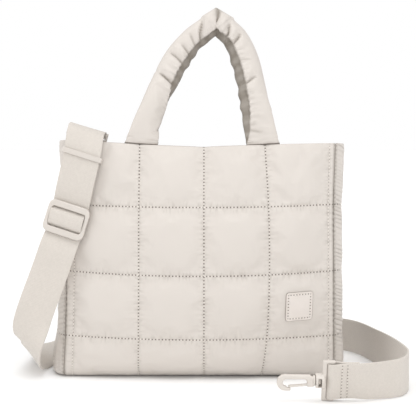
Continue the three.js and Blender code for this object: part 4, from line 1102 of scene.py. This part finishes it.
# %% [markdown]
# ## The webbing strap
# One strap 40 mm wide runs from the slider up to the fold over the left hook, back down through the
# slider, round behind the bag and out to the free end. A smooth curve through the places where it bends
# carries a ribbon, which is then given the thickness of webbing. Each row is a place on the strap's
# middle and the direction across it; the rows of the drape also say how far apart its two layers lie.

# %% Where the strap lies
WEB_WIDE, WEB_THICK, WEB_ROUND = 40, 1.8, 0.5
DRAPE = [
    (-143.9, -72, 175.7, -0.95, 0.12, 0.3, 2.4), (-135.3, -71, 207.4, -0.96, 0.12, 0.3, 2.6),
    (-126.7, -70, 245.4, -0.96, 0.1, 0.3, 2.6), (-125, -66.5, 258.9, -0.961, 0.05, 0.3, 3),
    (-124.3, -58.5, 269.1, -0.961, 0, 0.3, 4), (-124, -47, 272.1, -0.961, 0, 0.3, 5.6),
]
ROUTE = [
    (-152.5, -74.5, 147, -0.94, 0.08, 0.34), (-161.5, -75, 121.5, -0.93, 0.05, 0.36),
    (-180.5, -75, 69.3, -0.93, 0, 0.36), (-188, -68, 42.5, -0.79, 0.4, 0.46),
    (-188.5, -48, 27, -0.6, 0.4, 0.69), (-189, -15, 15.5, -0.7, 0.2, 0.66),
    (-185, 25, 10.8, -0.88, 0.12, 0.44), (-181, 70, 6.8, -0.95, 0.2, 0.22), (-164, 104, 6, -0.78, 0.6, 0.24),
    (-142, 114, 14, -0.45, 0.4, 0.8),
    (-115, 119, 20.6, 0, 0, 1), (0, 117, 20.6, 0, 0, 1), (120, 112, 20.6, 0, 0, 1),
    (180, 93, 20.6, 0, 0, 1), (207, 14, 20.6, 0, 0, 1), (219, -60, 20.6, 0, 0, 1),
    (219, -112, 20.6, 0, 0, 1), (205, -147, 20.6, 0, -0.1, 1), (178, -163, 20.8, 0, -0.25, 0.97),
]
FOLD_AT, FOLD_ACROSS, FOLD_DOWN = (-123.8, -37, 271.6), (-0.961, 0, 0.275), (-0.275, 0, -0.961)
HOOK_AT, HOOK_LEAN = np.array([131.5, -170, 22.4]), 0.36
SLIDER_TALL, SLIDER_CORNER, SLIDER_THICK = 32.5, 7, 2.4
SLOT_WIDE, SLOT_TALL, SLOT_CORNER, CENTRE_BAR = 41, 8.6, 1.5, 3.4
ROLL, ROLL_SIDE, ROLL_RISE, ROLL_SINK = 8.7, 2.3, 0.9, -0.2
PINCH, PINCH_SPAN = 0.06, 15
BAR_RADIUS, WRAP_STEPS, TAIL, EASE = 2, 8, 27, 0.6
STRAP_STEP, STRAP_COLUMNS, END_POINTS = 2.5, 9, 60
SEWN_ROWS, SEWN_HALF, SEWN_POINTS = (9.9, 15.8), 19, 5

drape_at = np.array([row[:3] for row in DRAPE], float)
drape_across = unit(np.array([row[3:6] for row in DRAPE], float))
drape_apart = [row[6] for row in DRAPE]


def drape_normal(i):
    """Direction out of the hanging webbing at a row of the drape."""
    along = drape_at[min(i + 1, len(DRAPE) - 1)] - drape_at[max(i - 1, 0)]
    normal = unit(np.cross(along, drape_across[i]))
    return -normal if normal @ np.array([0, -1, 1]) < 0 else normal


def wrap_round(centre, across, start, radius):
    """Half a turn of webbing round a bar."""
    aside = unit(np.cross(across, start))
    turns = np.linspace(0, -math.pi, WRAP_STEPS + 1)
    return [(centre + start * radius * math.cos(a) + aside * radius * math.sin(a), across) for a in turns]


slider_up = unit(drape_at[1] - drape_at[0])
slider_out = drape_normal(0)
end_across = np.array([0, -math.sin(HOOK_LEAN), math.cos(HOOK_LEAN)])
end_front = np.array([0, -math.cos(HOOK_LEAN), -math.sin(HOOK_LEAN)])


def in_slider(up, out):
    """A place in the slider's own frame, and the direction across the strap there."""
    return drape_at[0] + slider_up * up + slider_out * out, drape_across[0]


def strap_places():
    """Every place where the strap bends, from the end on the slider to the free end."""
    over, inner = CENTRE_BAR / 2 + GAP, CENTRE_BAR / 2 + SLOT_TALL + GAP
    beyond, lie = SLIDER_TALL / 2 + GAP, SLIDER_THICK / 2 + 2 * GAP + WEB_THICK / 2
    behind, radius = lie + WEB_THICK + 2 * GAP, BAR_RADIUS + GAP + WEB_THICK / 2
    layer = lambda i, s: (drape_at[i] + drape_normal(i) * s * drape_apart[i] / 2, drape_across[i])
    upper = list(range(1, len(DRAPE)))
    fold = wrap_round(np.array(FOLD_AT), np.array(FOLD_ACROSS), np.array(FOLD_DOWN), radius)
    doubled = lambda x, out: (HOOK_AT + np.array([x, 0, 0]) + end_front * out, end_across)
    out = WEB_THICK / 2 + GAP
    return [
        in_slider(-over, -lie), in_slider(over, -lie), in_slider(inner, -behind), in_slider(beyond, -behind),
        *[layer(i, -1) for i in upper], *fold, *[layer(i, 1) for i in upper[::-1]],
        in_slider(beyond, -lie), in_slider(inner + EASE, -lie), in_slider(ROLL, ROLL_SINK),
        in_slider(ROLL - ROLL_SIDE, lie), in_slider(0, lie + ROLL_RISE), in_slider(ROLL_SIDE - ROLL, lie),
        in_slider(-ROLL, ROLL_SINK), in_slider(-inner - EASE, -lie), in_slider(-beyond, -lie),
        *[(np.array(row[:3], float), unit(np.array(row[3:], float))) for row in ROUTE],
        doubled(TAIL, out), doubled(TAIL / 2, out),
        *wrap_round(HOOK_AT, end_across, end_front, radius + EASE),
        doubled(TAIL / 2, -out), doubled(TAIL, -out),
    ]

# %% [markdown]
# Between these places the strap follows a smooth cubic curve, and the direction across it turns evenly.

# %% The strap's line
def curve_part(b, c, start, end, t):
    """Cubic curve from b to c with given slopes at its ends."""
    t = t[:, None]
    return b + start * t + (3 * (c - b) - 2 * start - end) * t ** 2 + (2 * (b - c) + start + end) * t ** 3


def end_slopes(a, b, c, d):
    """Slopes at b and c of a centripetal curve, with a before and d after."""
    first, second, third = [max(np.linalg.norm(q - p), 1e-6) ** 0.5 for p, q in ((a, b), (b, c), (c, d))]
    start = ((b - a) / first - (c - a) / (first + second) + (c - b) / second) * second
    end = ((c - b) / second - (d - b) / (second + third) + (d - c) / third) * second
    return start, end


def strap_line():
    """Points along the strap's middle, and the direction across the webbing at each."""
    lengthened = lambda row: [2 * row[0] - row[1], *row, 2 * row[-1] - row[-2]]
    at, turn = [lengthened(row) for row in zip(*strap_places())]
    points, across = [], []
    for i in range(len(at) - 3):
        steps = max(3, round(np.linalg.norm(at[i + 2] - at[i + 1]) / STRAP_STEP))
        t = np.arange(steps) / steps
        points.append(curve_part(at[i + 1], at[i + 2], *end_slopes(*at[i:i + 4]), t))
        a, b, c, d = turn[i:i + 4]
        across.append(curve_part(b, c, (c - a) / 2, (d - b) / 2, t))
    points.append(at[-2][None])
    across.append(turn[-2][None])
    points, across = np.concatenate(points), np.concatenate(across)
    along = unit(np.gradient(points, axis=0))
    return points, unit(across - along * (across * along).sum(1, keepdims=True))


line, line_across = strap_line()
line_mm = lengths(line)
print("strap length:", round(float(line_mm[-1])), "mm")

# %% [markdown]
# The line carries a flat ribbon, a little narrower inside the slider. Solidify and Bevel give it thickness
# and round edges. Two rows of stitches close the loop at the free end.

# %% The strap
turned = line_mm[-END_POINTS + int(np.argmin(line[-END_POINTS:, 0]))]
face = (line_mm > turned - 2 * TAIL) & (line_mm < turned)
sewn_at = [float(np.interp(-HOOK_AT[0] - x, -line[face, 0], line_mm[face])) for x in SEWN_ROWS]
for mark in sewn_at:
    middle = [np.interp(mark, line_mm, line[:, k]) for k in range(3)] + end_front * WEB_THICK / 2
    over = np.linspace(-SEWN_HALF, SEWN_HALF, SEWN_POINTS)
    stitch_line("strap", over, middle + end_across * over[:, None],
                np.broadcast_to(end_front, (SEWN_POINTS, 3)))
webbing, tab_webbing = webbing_material("twill_webbing", sewn_at), webbing_material("twill_webbing_tab")
widths = np.linspace(-WEB_WIDE / 2, WEB_WIDE / 2, STRAP_COLUMNS)
pinched = 1 - PINCH * np.exp(-((np.linalg.norm(line - drape_at[0], axis=1) / PINCH_SPAN) ** 4))
ribbon = line[:, None] + line_across[:, None] * pinched[:, None, None] * widths[None, :, None]
ribbon[..., 2] = np.maximum(ribbon[..., 2], WEB_THICK / 2)
strap_mesh = placed_grid("strap_webbing", ribbon, lambda p: (0, -1, 1))
set_attribute(strap_mesh, "weave", widths, line_mm[:, None], 0)
ribbon_piece = new_object("strap_ribbon", strap_mesh, webbing)
thicken = ribbon_piece.modifiers.new("thickness", "SOLIDIFY")
thicken.thickness, thicken.offset = WEB_THICK * MM, 0
soften = ribbon_piece.modifiers.new("edges", "BEVEL")
soften.width, soften.segments, soften.limit_method = WEB_ROUND * MM, 2, "ANGLE"
strap_solid = evaluated(ribbon_piece)
bpy.data.objects.remove(ribbon_piece)
for polygon in strap_solid.polygons:
    polygon.use_smooth = True
strap = dressed(new_object("strap_webbing", strap_solid, webbing), "strap", "bag")

# %% [markdown]
# ## Slider, keeper, hooks and rings
# The hard pieces are moulded plastic with soft round edges. Most take the exact shape of their solid: a
# copy of it is skinned with fine voxels and smoothed a few rounds, which rounds every edge by a fraction
# of a millimetre, as a mould does. The slider's frame is fuller at the front, so it is swept from an
# outer and an inner rounded loop.

# %% How a piece is moulded
SKIN, SKIN_ROUNDS, HOOK_ROUNDS = 0.4, 8, 24
FRAME_WIDE, FRAME_TALL, FRAME_SLOT_WIDE, FRAME_SLOT_TALL = 46.5, 36, 38, 21.8
SLIDER_BACK, SLIDER_FRONT, SECTION_SIDES = -SLIDER_THICK / 2, 3.1, 20
BAR_ROUND, SLIDER_MERGE = 0.7, 1e-6


def moulded(node, body, finish=plastic, ending="_moulded", rounds=SKIN_ROUNDS):
    """A copy of a solid with every edge rounded."""
    rough = new_object("rough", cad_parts[node].data.copy())
    skin = rough.modifiers.new("skin", "REMESH")
    skin.mode, skin.voxel_size, skin.use_smooth_shade = "VOXEL", SKIN * MM, True
    rounded = rough.modifiers.new("rounded", "SMOOTH")
    rounded.factor, rounded.iterations = 0.5, rounds
    mesh = evaluated(rough)
    bpy.data.objects.remove(rough)
    mesh.name = node + ending
    return dressed(new_object(mesh.name, mesh, finish), node, body)


def rounded_loop(wide, tall, corner, steps=6):
    """Points round a rectangle with round corners."""
    angles = np.concatenate([np.linspace(k, k + 1, steps + 1) for k in range(4)]) * math.pi / 2
    x = np.cos(angles) * corner + np.sign(np.repeat([1, -1, -1, 1], steps + 1)) * (wide / 2 - corner)
    y = np.sin(angles) * corner + np.sign(np.repeat([1, 1, -1, -1], steps + 1)) * (tall / 2 - corner)
    points = np.stack([x, y], -1)
    return np.concatenate([points, points[:1]])


def squared(value, power=0.55):
    """A circle's cosine or sine pushed toward a square section."""
    return np.sign(value) * np.abs(value) ** power

# %% [markdown]
# The slider's section is nearly square. It is swept between the outer and the inner loop, and a bar across
# the middle holds the strap's end.

# %% The slider and the other hard pieces
def slider():
    """The slider's frame swept round its opening, and the bar that the strap's end is sewn round."""
    outer = rounded_loop(FRAME_WIDE, FRAME_TALL, SLIDER_CORNER)
    inner = rounded_loop(FRAME_SLOT_WIDE, FRAME_SLOT_TALL, SLOT_CORNER + 1)
    angle = np.linspace(0, 2 * math.pi, SECTION_SIDES + 1)[:, None, None]
    share = (1 - squared(np.cos(angle))) / 2
    out = (SLIDER_FRONT + SLIDER_BACK) / 2 + (SLIDER_FRONT - SLIDER_BACK) / 2 * squared(np.sin(angle))
    flat = outer * (1 - share) + inner * share
    up = unit(slider_up - drape_across[0] * (slider_up @ drape_across[0]))
    front = np.cross(drape_across[0], up)
    front = front if front @ slider_out > 0 else -front
    points = drape_at[0] + flat[..., :1] * drape_across[0] + flat[..., 1:] * up + out * front
    mesh = placed_grid("slider_moulded", points, lambda p: front)
    bm = bmesh.new()
    bm.from_mesh(mesh)
    bmesh.ops.remove_doubles(bm, verts=bm.verts[:], dist=SLIDER_MERGE)
    turn = Matrix([drape_across[0], up, front]).transposed().to_4x4()
    size = Matrix.Diagonal((SLOT_WIDE * MM, CENTRE_BAR * MM, SLIDER_THICK * MM, 1))
    place = Matrix.Translation(Vector(drape_at[0]) * MM) @ turn @ size
    bar = bmesh.ops.create_cube(bm, size=1, matrix=place)["verts"]
    edges = list({edge for vert in bar for edge in vert.link_edges})
    bmesh.ops.bevel(bm, geom=edges, offset=BAR_ROUND * MM, affect="EDGES", segments=2, profile=0.5,
                    material=-1)
    smooth_out(bm, mesh)
    return dressed(new_object(mesh.name, mesh, plastic), "slider", "bag")


slider()
for node in ("keeper", "hook_loop", "hook_left", "d_ring_left", "d_ring_right"):
    moulded(node, "bag")
moulded("snap_hook", "snap_hook", rounds=HOOK_ROUNDS)
moulded("hook_gate", "hook_gate")
for node in ("ring_tab_left", "ring_tab_right"):
    moulded(node, "bag", tab_webbing, "_folded")

# %% [markdown]
# ## The sewn patch
# A soft rubber square with round corners, moulded with a raised rim, is sewn on near its edge. It follows
# the seat that was pressed into the front panel, so it lies on the quilting and not in it.

# %% The patch
PATCH_CORNER, PATCH_EDGE, PATCH_RIM, PATCH_FIELD = 3.2, 0.9, 1.9, 0.5
PATCH_MARKS, PATCH_STEPS, BACK_STEP = [-1, -0.9, -0.84, 0.84, 0.9, 1], [6, 4, 18, 4, 6], 3
SEAM_POINTS, SEAM_OVER = 9, 2


def patch_points(share, out):
    """Places on the patch from shares of its half sides, out from its seat."""
    half = np.array([PATCH_WIDE, PATCH_TALL]) / 2
    corner = np.abs(share) * half - (half - PATCH_CORNER)
    bent = corner * (corner.max(-1) / np.maximum(np.linalg.norm(corner, axis=-1), 1e-9))[..., None]
    place = np.where((corner > 0).all(-1, keepdims=True), half - PATCH_CORNER + bent, np.abs(share) * half)
    u, v = np.moveaxis(place * np.sign(share), -1, 0)
    y = patch_terms(u, v) @ patch_seat - out
    return np.stack([PATCH_X + u + v * PATCH_LEAN, y, PATCH_Z + v + u * PATCH_SLOPE], -1), u, v


share = np.stack(np.meshgrid(*[between(PATCH_MARKS, PATCH_STEPS)] * 2), -1)
edge = (1 - np.abs(share).max(-1)) * PATCH_WIDE / 2
rise = PATCH_THICK * np.sqrt(np.clip(edge / PATCH_EDGE, 0, 1))
rise = rise - PATCH_FIELD * smoothstep(edge, PATCH_EDGE, PATCH_RIM)
points, u, v = patch_points(share, rise)
face = placed_grid("patch_face", points, lambda p: (0, -1, 0))
set_attribute(face, "border", u, v, edge)
coarse = share[::BACK_STEP, ::BACK_STEP]
points, u, v = patch_points(coarse, np.full(coarse.shape[:2], -PATCH_SEAT / 2))
back = placed_grid("patch_back", points, lambda p: (0, 1, 0))
set_attribute(back, "border", u * 0, 0, 0)
dressed(shell("label_patch_sewn", face, back, rubber), "label_patch", "bag")
inset = 1 - PATCH_SEAM * 2 / PATCH_WIDE
reach = inset * PATCH_WIDE / 2 + SEAM_OVER
for axis, sign in ((0, -1), (0, 1), (1, -1), (1, 1)):
    line_share = np.zeros((SEAM_POINTS, 2))
    line_share[:, axis] = np.linspace(-inset, inset, SEAM_POINTS)
    line_share[:, 1 - axis] = sign * inset
    row = patch_points(line_share, np.full(SEAM_POINTS, PATCH_THICK - PATCH_FIELD))[0]
    run = line_share[:, axis] * PATCH_WIDE / 2
    stitch_line("patch", run, row, np.tile((0, -1, 0), (SEAM_POINTS, 1)), -reach, reach, PATCH_PITCH)

# %% [markdown]
# ## Stitches
# Every seam above has noted where its stitches lie. They are now made, one mesh for each group.

# %% The stitches
stitches("quilting")
stitches("strap")
stitches("patch")
